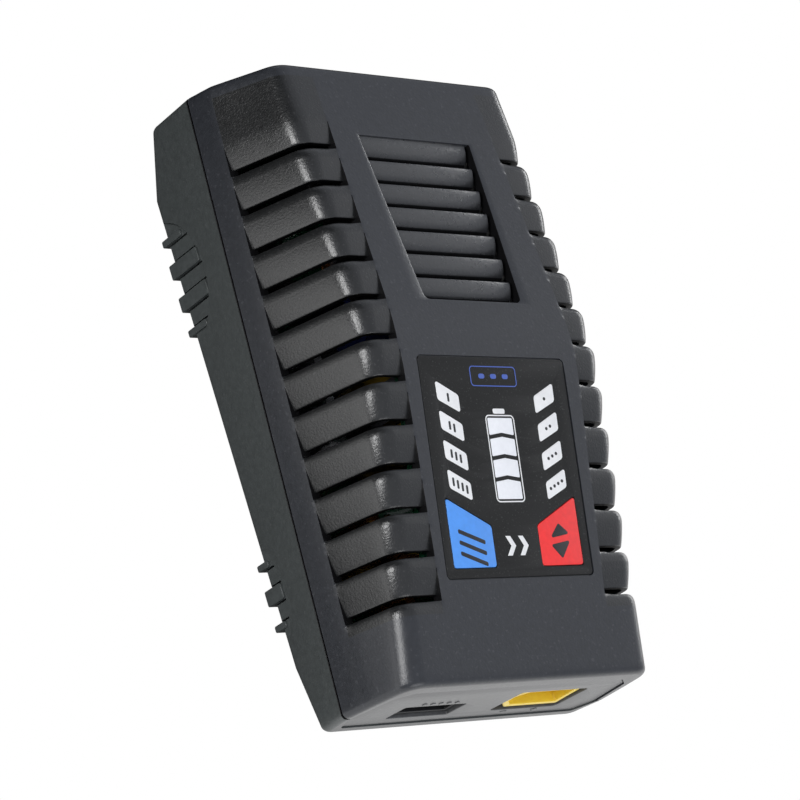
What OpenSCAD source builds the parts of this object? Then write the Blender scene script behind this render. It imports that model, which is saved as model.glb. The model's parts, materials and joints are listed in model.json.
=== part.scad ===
// Balance battery charger for two- to four-cell model packs.
// The wedge-shaped plastic case has gill vents along both shoulders, the mains
// inlet in its tall end and the battery sockets in its low end.
// Main frame: +Z up, the feet stand on Z = 0, +Y points to the mains end and
// X = 0 is the middle plane. Millimetres.

/* [Case] */
// Length of the case along its parting line
case_l = 120.4; // [119.6:0.2:121.2]
// Half width at the parting line, at mid length
half_w_mid = 34.3; // [34:0.1:34.8]
// Half width gained per millimetre towards the mains end
half_w_gain = 0.019; // [0.015:0.001:0.023]
// Tilt of the parting plane from the base
parting_tilt = 4.63; // [4.5:0.01:4.8]
// Height of the parting plane above the base at mid length
parting_h = 16.67; // [16.4:0.01:17]
// Wall thickness of both shells
wall = 2; // [1.8:0.1:2.2]
// Radius of the long top edges
edge_r = 4.5; // [3.5:0.1:5]
// Clearance between pieces that fit into each other
fit_gap = 0.15; // [0.1:0.01:0.2]

/* [Top] */
// Distance of the ridge from mid length
ridge_y = 2.5; // [1.5:0.1:3.5]
// Height of the ridge above the parting plane
ridge_h = 26; // [25.6:0.1:26.4]
// Fall of the grille face per millimetre of length
grille_fall = 0.131; // [0.125:0.001:0.135]
// Fall of the label face per millimetre of length
label_fall = 0.152; // [0.148:0.001:0.156]
// Half width to the long top edges at mid length
crown_half_w = 29.6; // [29:0.1:30]
// Height of the shoulder edge above the parting plane
shoulder_h = 5.7; // [5:0.1:6.2]

/* [Gills] */
// Number of gill slots on each side
gill_count = 12; // [10:1:12]
// Distance between gill slots
gill_pitch = 7.845; // [7.8:0.005:7.9]
// Distance of the first slot from mid length
gill_first_y = 42.25; // [41.8:0.05:42.6]
// Width of a slot
gill_slot = 1.3; // [1.1:0.1:1.5]
// Half width between the inner ends of the slots
gill_inner = 22.4; // [22:0.1:22.8]
// How far each gill plate sinks at its slot
gill_sink = 0.9; // [0.6:0.1:1]

/* [Grille] */
// Length of the louvred window
grille_l = 34.8; // [33.5:0.1:35.5]
// Width of the window at the mains end
grille_w_far = 28.4; // [27.5:0.1:29]
// Width of the window at the ridge end
grille_w_near = 24.6; // [24:0.1:25]
// Number of louvres
louvre_count = 7; // [6:1:8]

/* [Label] */
// Width of the front overlay
overlay_w = 37.2; // [36.6:0.1:37.6]
// Length of the front overlay
overlay_l = 40.8; // [40:0.1:41.2]
// Thickness of the front overlay
overlay_t = 0.4; // [0.3:0.05:0.4]
// Travel of the two keys
key_travel = 0.3; // [0.2:0.05:0.35]

/* [Fan] */
// Side of the square fan
fan_size = 35; // [34:1:36]
// Diameter of the fan's shaft
fan_shaft_d = 2; // [1.8:0.1:2.2]

/* [Hidden] */
$fn = 48;
eps = 0.01;
near_y = -case_l / 2;
far_y = case_l / 2;
near_lean = 2.63;
far_lean = 2;
end_r = 1.2;
shoulder_in = 0.65;
crown_loss = 0.02;
ridge_blend = 7;
base_z = 1;
base_fall = tan(parting_tilt);
base_r = 2;
side_draft = 0.178;
near_toe_y = near_y + 13;
far_toe_y = far_y - 12.6;
near_edge_z = -8.1;
far_edge_z = -14.6;
grille_mid_y = 27.9;
label_mid_y = -20.9;
grille_angle = atan(grille_fall);
label_angle = atan(label_fall);
board_z = 8;
board_t = 1.6;
board_top = board_z + board_t;
panel_t = 1.6;
panel_sunk = 0.5;
pocket_x = 31.4;
rib_pitch = 6.8;
rib_w = 3;
feet = [[31, 10.1, 4, 8.7], [-32.2, 6.55, 3, 4.6]];
screw_xy = [[26.5, 49], [-26.5, 49], [26.5, -51.5], [-26.5, -51.5]];
standoff_xy = [[26, 36], [-26, 36], [26, -38], [-26, -38]];
xt_x = 13.2;
xt_z = 14.95;
xt_w = 16;
xt_h = 8.1;
xt_pin_pitch = 7.2;
bal_x = -13.4;
bal_w = 14.9;
bal_h = 5.6;
bal_pitch = 2.5;
inlet_w = 20;
inlet_h = 12;
inlet_z = board_top + inlet_h / 2 + 1;
inlet_pitch = 8.6;
light_pitch = 5.4;
bar_pitch = 3.95;
ctrl_w = 36;
ctrl_l = 43.6;
ctrl_top = -6;
ctrl_t = 1.2;
fan_bore = fan_size - 2;
fan_hub_d = 16;
fan_hole = fan_size / 2 - 3;
fan_h = 8;
fan_low = -13;
fan_holes = [for (x = [-1, 1], y = [-1, 1]) [x * fan_hole, y * fan_hole]];
ctrl_holes = [for (x = [-1, 1], y = [-1, 1]) [x * 16, y * 20]];
key_mid = [11.2, -14];
link_y = -28.4;

// ---------- frames ----------

// Frame of the case: its XY plane is the parting plane.
module case_frame() {
  translate([0, 0, parting_h]) rotate([parting_tilt, 0, 0]) children();
}

// Frame of the grille face, origin at the middle of the window.
module grille_frame() {
  case_frame() translate([0, grille_mid_y, face_z(grille_mid_y)])
    rotate([-grille_angle, 0, 0]) children();
}

// Frame of the label face, origin at the middle of the overlay.
module label_frame() {
  case_frame() translate([0, label_mid_y, face_z(label_mid_y)])
    rotate([label_angle, 0, 0]) children();
}

// ---------- outline of the case, in the case frame ----------

function half_w(y) = half_w_mid + half_w_gain * y;
function crown_x(y) = crown_half_w - crown_loss * y;

// Height of the two flat top faces, which meet at the ridge.
function face_z(y) = y > ridge_y
  ? ridge_h - grille_fall * (y - ridge_y)
  : ridge_h - label_fall * (ridge_y - y);

// Same height with the ridge rounded over by a parabola.
function top_z(y) = abs(y - ridge_y) >= ridge_blend
  ? face_z(y)
  : face_z(ridge_y - ridge_blend) + label_fall * (y - ridge_y + ridge_blend)
    - (label_fall + grille_fall) / (4 * ridge_blend) * pow(y - ridge_y + ridge_blend, 2);

// Height of the flat base below the parting plane.
function base_plane_z(y) = -(parting_h - base_z) / cos(parting_tilt) - base_fall * y;
function base_edge_z(y) = y < near_toe_y
  ? near_edge_z + (base_plane_z(near_toe_y) - near_edge_z) * (y - near_y) / (near_toe_y - near_y)
  : y > far_toe_y
  ? far_edge_z + (base_plane_z(far_toe_y) - far_edge_z) * (far_y - y) / (far_y - far_toe_y)
  : base_plane_z(y);

// Right half of the upper cross-section at y, moved inwards by d.
function upper_half(y, d, n) =
  let (xs = half_w(y) - shoulder_in - d,
       xv = crown_x(y) - d,
       h = top_z(y) - d,
       turn = atan2(h - shoulder_h, xs - xv),
       r = max(edge_r - d, 1),
       cx = xv - r * tan(turn / 2))
  concat([[half_w(y) - d, 0], [xs, shoulder_h]],
         [for (i = [0:n]) [cx + r * cos(90 - turn + turn * i / n),
                           h - r + r * sin(90 - turn + turn * i / n)]]);

// Right half of the lower cross-section at y, moved inwards by d.
function lower_half(y, d, n) =
  let (z = base_edge_z(y) + d,
       r = max(base_r - d / 2, 0.6),
       x = half_w(y) - d + side_draft * z)
  concat([[half_w(y) - d, 0]],
         [for (i = [0:n]) [x - r + r * cos(90 * i / n), z + r - r * sin(90 * i / n)]]);

function both_sides(half) =
  concat(half, [for (i = [len(half) - 1:-1:0]) [-half[i][0], half[i][1]]]);

// A thin upright slice of the case that leans by the given angle.
module slice(y, lean, outline) {
  translate([0, y, 0]) rotate([lean, 0, 0]) rotate([90, 0, 0])
    linear_extrude(eps) polygon(outline);
}

// Slices of the upper half as [y, inward offset, lean]; grow swells the body.
function upper_slices(inset, round_r) = concat(
  [[near_y + inset, inset + round_r, -near_lean],
   [near_y + inset + 0.3 * round_r, inset + 0.3 * round_r, -near_lean],
   [near_y + inset + round_r, inset, -near_lean]],
  [for (i = [-1:0.5:1]) [ridge_y + i * ridge_blend, inset, 0]],
  [[far_y - inset - round_r, inset, far_lean],
   [far_y - inset - 0.3 * round_r, inset + 0.3 * round_r, far_lean],
   [far_y - inset, inset + round_r, far_lean]]);

function lower_slices(inset, round_r) = [
  [near_y + inset, inset + round_r, -near_lean],
  [near_y + inset + 0.3 * round_r, inset + 0.3 * round_r, -near_lean],
  [near_y + inset + round_r, inset, -near_lean],
  [near_toe_y, inset, 0],
  [far_toe_y, inset, 0],
  [far_y - inset - round_r, inset, far_lean],
  [far_y - inset - 0.3 * round_r, inset + 0.3 * round_r, far_lean],
  [far_y - inset, inset + round_r, far_lean]];

module upper_body(inset, round_r, n) {
  hull() for (s = upper_slices(inset, round_r))
    slice(s[0], s[2], both_sides(upper_half(s[0], s[1], n)));
}

module lower_body(inset, round_r, n) {
  hull() for (s = lower_slices(inset, round_r))
    slice(s[0], s[2], both_sides(lower_half(s[0], s[1], n)));
}

// ---------- small shared shapes ----------

module block(size, at) {
  translate(at) cube(size, center = true);
}

module rod(d, l, at) {
  translate(at) cylinder(d = d, h = l);
}

module rounded_plate(w, l, t, r) {
  linear_extrude(t) union() {
    square([w - 2 * r, l], center = true);
    square([w, l - 2 * r], center = true);
    for (x = [-1, 1], y = [-1, 1])
      translate([x * (w / 2 - r), y * (l / 2 - r)]) circle(r);
  }
}

// A ring of wire turns around a toroid, axis along Z.
module toroid_turns(r_in, r_out, h, turns, arc) {
  for (i = [0:turns - 1]) rotate([0, 0, i * arc / turns]) difference() {
    block([r_out - r_in + 2, 1, h + 2], [(r_in + r_out) / 2, 0, 0]);
    block([r_out - r_in + 0.1, 2, h + 0.1], [(r_in + r_out) / 2, 0, 0]);
  }
}

module ring(r_in, r_out, h) {
  difference() {
    cylinder(r = r_out, h = h, center = true);
    cylinder(r = r_in, h = h + 1, center = true);
  }
}

// ---------- openings in the top ----------

// Plan of one shoulder between the slots' inner ends and the outside.
module gill_zone(y0, y1, side) {
  mid = (y0 + y1) / 2;
  inner = gill_inner - 0.035 * abs(mid - ridge_y);
  translate([side > 0 ? inner : -inner - 20, y0, shoulder_h])
    cube([20, y1 - y0, 40]);
}

function slot_y(k) = gill_first_y - k * gill_pitch;

module gill_slots() {
  for (k = [0:gill_count - 1], side = [-1, 1])
    gill_zone(slot_y(k) - gill_slot / 2, slot_y(k) + gill_slot / 2, side);
}

// Recesses beside the slots, in two steps: each plate sinks towards its slot.
module gill_recesses() {
  for (step = [[0.5, 4.2], [1, 2]]) difference() {
    for (k = [0:gill_count - 1], side = [-1, 1])
      gill_zone(slot_y(k), slot_y(k) + gill_slot / 2 + step[1], side);
    upper_body(gill_sink * step[0], end_r, 6);
  }
}

function grille_outline(g) = [
  [-grille_w_near / 2 - g, -grille_l / 2 - g], [grille_w_near / 2 + g, -grille_l / 2 - g],
  [grille_w_far / 2 + g, grille_l / 2 + g], [-grille_w_far / 2 - g, grille_l / 2 + g]];

// Seven rounded louvres that cross the window under the top face.
module louvres() {
  pitch = grille_l / louvre_count;
  grille_frame() intersection() {
    translate([0, 0, -6]) linear_extrude(7) polygon(grille_outline(0.5));
    for (i = [0:louvre_count - 1])
      translate([0, -grille_l / 2 + (i + 0.55) * pitch, -1.9]) rotate([0, 90, 0])
        union() {
          cylinder(r = 1.3, h = grille_w_far + 2, center = true);
          translate([0.2, 1.2, 0]) rotate([0, 0, 24])
            cube([1.5, 2.6, grille_w_far + 2], center = true);
        }
  }
}

// Outline of a key in the label frame; side -1 is the mode key.
function key_outline(side, g) = [
  [side * (16.4 + g), -5.7 + 1.6 * g], [side * (5.9 - g), -10.9 + 0.7 * g],
  [side * (5.9 - g), -18.4 - g], [side * (16.4 + g), -18.4 - g]];

// Outline of one indicator window in the label frame.
function light_outline(side, k, g) =
  let (top = 15.6 - k * light_pitch)
  [[side * (14.9 + g), top + 1.4 * g], [side * (9.6 - g), top - 2.4 + 0.7 * g],
   [side * (9.6 - g), top - 5.65 - 1.4 * g], [side * (14.9 + g), top - 3.25 - 0.7 * g]];

// Outline of one charge bar: a band whose two long edges bend up at the middle.
function bar_outline(k, g) =
  let (low = -6 + k * bar_pitch, high = low + bar_pitch - 0.75)
  [[-3.1 - g, low - g], [0, low - g + (k > 0 ? 0.45 : 0)], [3.1 + g, low - g],
   [3.1 + g, high + g], [0, high + g + (k < 3 ? 0.45 : 0)], [-3.1 - g, high + g]];

module light_columns(side, g, z0, z1) {
  for (k = [0:3]) translate([0, 0, z0]) linear_extrude(z1 - z0)
    polygon(light_outline(side, k, g));
}

module charge_bars(g, z0, z1) {
  for (k = [0:3]) translate([0, 0, z0]) linear_extrude(z1 - z0)
    polygon(bar_outline(k, g));
}

module key_block(side, g, z0, z1) {
  translate([0, 0, z0]) linear_extrude(z1 - z0) polygon(key_outline(side, g));
}

// Everything that passes through the overlay and the shell under it.
module face_openings(g, z0, z1) {
  for (side = [-1, 1]) {
    light_columns(side, g, z0, z1);
    key_block(side, g + 0.1, z0, z1);
  }
  charge_bars(g, z0, z1);
}

// ---------- openings in the ends ----------

// Outline of an end panel in X and case-frame Z; g widens it.
function panel_outline(half, low, high, g) = [
  [-half + 2 - g, low - g], [half - 2 + g, low - g],
  [half + g, low + 4.5], [half - 2 + g, high - 2.5],
  [half - 5, high + g], [-half + 5, high + g],
  [-half + 2 - g, high - 2.5], [-half - g, low + 4.5]];

module near_panel_block(g, y0, y1) {
  translate([0, near_y, 0]) rotate([-near_lean, 0, 0]) rotate([90, 0, 0])
    translate([0, 0, -y1]) linear_extrude(y1 - y0)
    polygon(panel_outline(31.2, -5.1, 12.4, g));
}

module far_panel_block(g, y0, y1) {
  translate([0, far_y, 0]) rotate([far_lean, 0, 0]) rotate([90, 0, 0])
    translate([0, 0, y0]) linear_extrude(y1 - y0)
    polygon(panel_outline(30.8, -11.8, 13, g));
}

module end_openings() {
  near_panel_block(fit_gap, -3, 6);
  far_panel_block(fit_gap, -3, 6);
}

// ---------- shells ----------

function screw_end(p) = p[1] > 0 ? 24 : 15;

module top_bosses() {
  for (p = screw_xy) rod(6.6, 50, [p[0], p[1], 8]);
}

module top_shell() {
  color([0.12, 0.125, 0.13]) {
    difference() {
      union() {
        case_frame() difference() {
          upper_body(0, end_r, 6);
          gill_recesses();
          upper_body(wall, 0.5, 3);
        }
        intersection() {
          case_frame() upper_body(0.4, end_r, 3);
          union() {
            top_bosses();
            label_frame() for (p = ctrl_holes) rod(3.6, 6, [p[0], p[1], ctrl_top]);
          }
        }
      }
      case_frame() {
        gill_slots();
        end_openings();
        translate([-50, -80, -20]) cube([100, 160, 20 + 0.08]);
      }
      grille_frame() translate([0, 0, -4]) linear_extrude(8) polygon(grille_outline(0));
      label_frame() {
        translate([0, 0, -0.5]) rounded_plate(overlay_w + 0.3, overlay_l + 0.3, 4, 1);
        face_openings(0.15, -4, 1);
        for (p = ctrl_holes) rod(1.7, 4.4, [p[0], p[1], ctrl_top - 0.1]);
      }
      for (p = screw_xy) rod(2.9, screw_end(p) - 6, [p[0], p[1], 7]);
    }
    grille_frame() for (p = fan_holes) difference() {
      rod(4.2, 4.4, [p[0], p[1], fan_low + fan_h]);
      rod(2.3, 3.4, [p[0], p[1], fan_low + fan_h - 0.1]);
    }
    intersection() {
      louvres();
      case_frame() upper_body(0.6, end_r, 3);
    }
  }
}

// One side's foot: ribs that reach down to Z = 0 under an arched pocket.
// at: [distance along Y, half span of the ribs, number of ribs, arch rise]
module foot_ribs(at, side) {
  for (i = [0:at[2] - 1]) {
    mid = (i - (at[2] - 1) / 2) * rib_pitch;
    low = max(mid - rib_w / 2, -at[1]);
    high = min(mid + rib_w / 2, at[1]);
    translate([side > 0 ? 24 : -pocket_x - 0.5, at[0] + low, 0])
      cube([pocket_x + 0.5 - 24, high - low, 2.4]);
    translate([side > 0 ? 30.2 : -pocket_x - 0.5, at[0] + low, 0])
      cube([pocket_x + 0.5 - 30.2, high - low, at[3] * (i == 0 || i == at[2] - 1 ? 0.5 : 0.9)]);
  }
}

function arch_r(at) = (pow(at[1] + 3, 2) + pow(at[3], 2)) / (2 * at[3]);

module foot_pocket(at, side) {
  translate([side * (pocket_x + 3), at[0], base_z + 1 + at[3] - arch_r(at)])
    rotate([0, 90, 0]) cylinder(r = arch_r(at), h = 6, center = true);
}

// Narrow vents between the ribs.
module foot_vents(at, side) {
  for (i = [1:at[2] - 1]) {
    y = at[0] + (i - at[2] / 2) * rib_pitch + 1.2;
    translate([side * 31, y, at[3] / 2 + 1.6]) cube([6, 0.9, at[3] - 2.4], center = true);
  }
}

module bottom_shell() {
  color([0.16, 0.17, 0.17]) difference() {
    union() {
      case_frame() difference() {
        lower_body(0, end_r, 3);
        lower_body(wall, 0.5, 2);
      }
      intersection() {
        case_frame() lower_body(0.4, end_r, 3);
        union() {
          for (p = screw_xy) rod(7.4, 30, [p[0], p[1], 1]);
          for (p = standoff_xy) rod(6, board_z - 1, [p[0], p[1], 1]);
        }
      }
      for (f = feet, side = [-1, 1]) foot_ribs(f, side);
    }
    difference() {
      for (f = feet, side = [-1, 1]) foot_pocket(f, side);
      for (f = feet, side = [-1, 1]) foot_ribs(f, side);
    }
    for (f = feet, side = [-1, 1]) foot_vents(f, side);
    case_frame() {
      end_openings();
      translate([-50, -80, -0.02]) cube([100, 160, 20]);
    }
    for (p = screw_xy) {
      rod(3.2, 40, [p[0], p[1], -1]);
      rod(6.4, 4.6, [p[0], p[1], -0.5]);
    }
    for (p = standoff_xy) rod(2.3, 6, [p[0], p[1], board_z - 5]);
  }
}

// ---------- end panels ----------

module output_panel() {
  color([0.15, 0.155, 0.16]) difference() {
    union() {
      case_frame() near_panel_block(0, panel_sunk, panel_sunk + panel_t);
      case_frame() for (x = [-22, 3]) {
        translate([x, near_y + 2.7, -5.7]) cube([8, 1, 2.5]);
        translate([x, near_y + 2.9, 9.5]) cube([8, 1, 4]);
        translate([x, near_y + 1.6, 9.5]) cube([8, 1.6, 2]);
        translate([x, near_y + 1.6, -4.6]) cube([8, 1.6, 1.4]);
      }
    }
    block([17, 12, 9.2], [xt_x, near_y, xt_z]);
    block([bal_w + 0.3, 12, bal_h + 0.3], [bal_x, near_y, board_top + bal_h / 2]);
  }
}

// Figure-of-eight opening of the mains inlet, extruded along Y.
module eight_hole(r, pitch, l) {
  for (x = [-1, 1]) translate([x * pitch / 2, 0, 0]) rotate([90, 0, 0])
    cylinder(r = r, h = l, center = true);
  cube([pitch, l, 2 * r - 1.6], center = true);
}

module inlet_panel() {
  color([0.15, 0.155, 0.16]) difference() {
    union() {
      case_frame() far_panel_block(0, panel_sunk, panel_sunk + panel_t);
      case_frame() for (x = [-24, 16]) {
        translate([x, far_y - 4.4, 9.6]) cube([8, 1.6, 4.4]);
        translate([x, far_y - 4.4, -12.3]) cube([8, 1.6, 4]);
        translate([x, far_y - 3.6, 9.6]) cube([8, 1.8, 2]);
        translate([x, far_y - 3.6, -10.6]) cube([8, 1.8, 2.2]);
      }
    }
    translate([0, far_y, inlet_z]) eight_hole(4.7, inlet_pitch, 12);
  }
}

// ---------- front face ----------

module front_overlay() {
  color([0.14, 0.14, 0.145]) label_frame() difference() {
    translate([0, 0, -0.5]) rounded_plate(overlay_w, overlay_l, overlay_t, 0.9);
    face_openings(0.12, -2, 2);
  }
}

// A key: its cap, a retaining flange under the shell and a stem.
module key(side) {
  label_frame() {
    difference() {
      union() {
        key_block(side, 0, -2.6, -0.1);
        key_block(side, 0.7, -3.2, -2.55);
      }
      rod(4.4, 1.9, [side * 16, -20, -4]);
    }
    rod(3, 0.8, [side * key_mid[0], key_mid[1], -3.9]);
  }
}

module mode_key() {
  color([0.3, 0.6, 0.98]) key(-1);
}

module current_key() {
  color([0.98, 0.22, 0.22]) key(1);
}

module plunger(side) {
  label_frame() rod(2.6, 0.9, [side * key_mid[0], key_mid[1], -4.8]);
}

module mode_plunger() {
  color([0.1, 0.1, 0.1]) plunger(-1);
}

module current_plunger() {
  color([0.1, 0.1, 0.1]) plunger(1);
}

module column_guide(side) {
  color([0.93, 0.93, 0.93]) label_frame() {
    light_columns(side, 0, -4.6, -0.1);
    block([6.4, 20, 0.6], [side * 12.25, 6.4, -2.65]);
  }
}

module mode_light_guide() column_guide(-1);

module current_light_guide() column_guide(1);

module charge_bar_guide() {
  color([0.96, 0.96, 1]) label_frame() {
    charge_bars(0, -4.6, -0.1);
    block([7.2, 17, 0.6], [0, 1.6, -2.65]);
  }
}

// Black block that keeps each light to its own window.
module light_baffle() {
  color([0.08, 0.08, 0.08]) label_frame() difference() {
    translate([0, 3.4, -4.5]) cube([33.6, 28, 2.8], center = true);
    for (side = [-1, 1]) light_columns(side, 0.25, -8, 0);
    charge_bars(0.2, -8, 0);
    for (p = ctrl_holes) rod(4.6, 8, [p[0], p[1], -8]);
    for (side = [-1, 1]) key_block(side, 1.2, -8, 0);
  }
}

module control_board() {
  color([0.05, 0.3, 0.15]) label_frame() difference() {
    translate([0, 0, ctrl_top - ctrl_t]) rounded_plate(ctrl_w, ctrl_l, ctrl_t, 1);
    for (p = ctrl_holes) rod(2.2, 4, [p[0], p[1], ctrl_top - 2]);
  }
}

module tact_switches() {
  color([0.75, 0.75, 0.76]) label_frame() for (side = [-1, 1]) difference() {
    block([6, 6, 1.5], [side * key_mid[0], key_mid[1], ctrl_top + 0.75]);
    rod(2.8, 3, [side * key_mid[0], key_mid[1], -4.9 - key_travel]);
  }
}

module indicator_leds() {
  color([0.95, 0.95, 0.85]) label_frame() {
    for (side = [-1, 1], k = [0:3])
      block([2, 1.2, 0.8], [side * 12.25, 12.8 - k * light_pitch, ctrl_top + 0.4]);
    for (k = [0:3]) block([2, 1.2, 0.8], [0, -4.4 + k * bar_pitch, ctrl_top + 0.4]);
  }
}

module controller_chip() {
  color([0.1, 0.1, 0.1]) label_frame()
    block([7, 7, 1.2], [-6, 4, ctrl_top - ctrl_t - 0.6]);
}

module buzzer() {
  color([0.12, 0.12, 0.12]) label_frame() difference() {
    rod(9, 4, [9, 6, ctrl_top - ctrl_t - 4]);
    rod(1.5, 1, [9, 6, ctrl_top - ctrl_t - 4.5]);
  }
}

module control_board_screws() {
  color([0.7, 0.7, 0.72]) label_frame() for (p = ctrl_holes) {
    rod(3.6, 1.2, [p[0], p[1], ctrl_top - ctrl_t - 1.2]);
    rod(1.6, 4.6, [p[0], p[1], ctrl_top - ctrl_t - 0.2]);
  }
}

// Ribbon and its two sockets between the boards.
module board_link() {
  color([0.85, 0.85, 0.82]) {
    label_frame() block([12, 3, 3], [0, -8, ctrl_top - ctrl_t - 1.5]);
    intersection() {
      translate([-5.5, link_y - 0.4, board_top + 2]) cube([11, 0.8, 40]);
      label_frame() translate([-10, -30, -60]) cube([20, 60, 60 + ctrl_top - ctrl_t - 1]);
    }
    block([12, 3.4, 4], [0, link_y, board_top + 2]);
  }
}

// ---------- power board and what stands on it ----------

module power_board() {
  color([0.05, 0.33, 0.17]) difference() {
    union() {
      block([59, 90.5, board_t], [0, -1.25, board_z + board_t / 2]);
      block([43, 111, board_t], [0, 0, board_z + board_t / 2]);
    }
    for (p = standoff_xy) rod(2.7, 6, [p[0], p[1], board_z - 2]);
  }
}

module board_screws() {
  color([0.7, 0.7, 0.72]) for (p = standoff_xy) {
    rod(4.6, 1.6, [p[0], p[1], board_top]);
    rod(2.2, 6, [p[0], p[1], board_top - 5.8]);
  }
}

module insulation_sheet() {
  color([0.85, 0.85, 0.8]) difference() {
    translate([0, 0, 3.3]) rounded_plate(53, 88, 0.4, 2);
    for (p = standoff_xy) rod(7.4, 4, [p[0], p[1], 1]);
    for (p = screw_xy) rod(9, 4, [p[0], p[1], 1]);
  }
}

// Outline of an XT60 body: two corners of one end are cut off.
function xt_outline(g) = [
  [-xt_w / 2 - g + 2.3, -xt_h / 2 - g], [xt_w / 2 + g, -xt_h / 2 - g],
  [xt_w / 2 + g, xt_h / 2 + g], [-xt_w / 2 - g + 2.3, xt_h / 2 + g],
  [-xt_w / 2 - g, xt_h / 2 + g - 2.3], [-xt_w / 2 - g, -xt_h / 2 - g + 2.3]];

module along_y(y, l) {
  translate([0, y + l, 0]) rotate([90, 0, 0]) linear_extrude(l) children();
}

module xt60_housing() {
  color([0.98, 0.75, 0.1]) difference() {
    translate([xt_x, 0, xt_z]) {
      along_y(near_y + 0.7, 15.8) polygon(xt_outline(0));
      for (x = [-5, 5])
        translate([x - 1, near_y + 5, board_top - xt_z]) cube([2, 8, 2]);
    }
    translate([xt_x, 0, xt_z]) along_y(near_y, 9.7) polygon(xt_outline(-1.1));
    for (x = [-0.5, 0.5]) translate([xt_x + x * xt_pin_pitch, 0, xt_z])
      rotate([90, 0, 0]) cylinder(d = 3.6, h = 200, center = true);
  }
}

module xt60_pins() {
  color([0.9, 0.7, 0.25]) for (x = [-0.5, 0.5]) translate([xt_x + x * xt_pin_pitch, 0, xt_z]) {
    translate([0, near_y + 19, 0]) rotate([90, 0, 0]) cylinder(d = 3.5, h = 17.2);
    translate([0, near_y + 18, board_top - xt_z]) cylinder(d = 2, h = xt_z - board_top);
  }
}

module balance_header() {
  color([0.08, 0.08, 0.08]) difference() {
    block([bal_w, 8, bal_h], [bal_x, near_y + 5.2, board_top + bal_h / 2]);
    block([bal_w - 1.8, 6.4, bal_h - 1.8], [bal_x, near_y + 3.4, board_top + bal_h / 2]);
    for (k = [-2:2]) block([0.7, 20, 0.7], [bal_x + k * bal_pitch, near_y + 8, board_top + 2.6]);
  }
}

module balance_pins() {
  color([0.85, 0.8, 0.6]) for (k = [-2:2]) {
    block([0.64, 9, 0.64], [bal_x + k * bal_pitch, near_y + 6.7, board_top + 2.6]);
    block([0.64, 0.64, 2.9], [bal_x + k * bal_pitch, near_y + 10.9, board_top + 1.45]);
  }
}

module inlet_socket() {
  color([0.07, 0.07, 0.07]) difference() {
    union() {
      block([inlet_w, 15, inlet_h + 1], [0, 49, board_top + (inlet_h + 1) / 2]);
      translate([0, 57.4, inlet_z]) eight_hole(4.5, inlet_pitch, 4);
    }
    translate([0, 55, inlet_z]) eight_hole(3.7, inlet_pitch, 14);
    for (x = [-0.5, 0.5]) translate([x * inlet_pitch, 45, inlet_z])
      rotate([90, 0, 0]) cylinder(d = 2.5, h = 20, center = true);
  }
}

module inlet_pins() {
  color([0.8, 0.8, 0.8]) for (x = [-0.5, 0.5]) translate([x * inlet_pitch, 0, inlet_z]) {
    translate([0, 56.5, 0]) rotate([90, 0, 0]) cylinder(d = 2.4, h = 16.5);
    translate([0, 40.6, board_top - inlet_z]) cylinder(d = 1.2, h = inlet_z - board_top);
  }
}

module inlet_fuse() {
  color([0.45, 0.3, 0.15]) {
    translate([-19, 42, board_top + 2.6]) rotate([90, 0, 0]) cylinder(d = 5.2, h = 15);
    for (y = [26.4, 42.6]) rod(0.8, 3.2, [-19, y, board_top]);
    translate([-19, 42.9, board_top + 2.8]) rotate([90, 0, 0]) cylinder(d = 0.8, h = 17);
  }
}

module x_capacitor() {
  color([0.85, 0.7, 0.1]) block([6, 13, 11], [17.5, 35, board_top + 5.5]);
}

module common_mode_choke() {
  color([0.2, 0.2, 0.22]) translate([0, 32, board_top + 8]) rotate([90, 0, 0])
    ring(3.6, 6.6, 6);
}

module choke_winding() {
  color([0.72, 0.4, 0.15]) translate([0, 32, board_top + 8]) rotate([90, 0, 0])
    for (start = [20, 200]) rotate([0, 0, start]) toroid_turns(3.6, 6.6, 6, 7, 160);
}

module bridge_rectifier() {
  color([0.1, 0.1, 0.1]) block([14, 3.6, 10.5], [-18, 21, board_top + 5.25]);
}

module bulk_capacitor() {
  color([0.1, 0.12, 0.3]) translate([-9, 16, board_top + 7.4]) rotate([0, 90, 0]) {
    cylinder(d = 14.5, h = 26);
    translate([0, 0, 26]) cylinder(d = 13.5, h = 0.6);
  }
}

module transformer_core() {
  color([0.22, 0.22, 0.24]) difference() {
    block([25, 7, 19], [0, -4, board_top + 11]);
    for (x = [-1, 1]) block([6, 9, 12.6], [x * 6.6, -4, board_top + 11]);
  }
}

module transformer_bobbin() {
  color([0.93, 0.78, 0.2]) difference() {
    union() {
      block([18.8, 16, 12.2], [0, -4, board_top + 11]);
      block([20, 19, 1.5], [0, -4, board_top + 0.75]);
    }
    block([7.4, 7.4, 30], [0, -4, board_top + 11]);
    for (x = [-1, 1]) block([30, 7.3, 20], [x * 24.55, -4, board_top + 11]);
  }
}

module heat_sinks() {
  color([0.7, 0.71, 0.73]) {
    block([2, 24, 15], [25.5, -2, board_top + 7.5]);
    block([2, 24, 15], [-25.5, -2, board_top + 7.5]);
    for (x = [-1, 1], y = [-1, 1]) block([2.4, 2, 15], [x * 27.2, -2 + y * 9, board_top + 7.5]);
  }
}

module power_transistors() {
  color([0.1, 0.1, 0.1]) for (x = [-1, 1], y = [-8, 4]) {
    block([4.4, 10, 12], [x * 22.2, y, board_top + 9]);
    for (k = [-1, 0, 1]) block([0.7, 0.9, 4], [x * 22.2, y + k * 2.54, board_top + 2]);
  }
}

module output_inductor() {
  color([0.75, 0.72, 0.2]) translate([-16, -32, board_top + 4.5]) ring(4, 8, 6);
}

module inductor_winding() {
  color([0.72, 0.4, 0.15]) translate([-16, -32, board_top + 4.5])
    toroid_turns(4, 8, 6, 14, 330);
}

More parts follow.
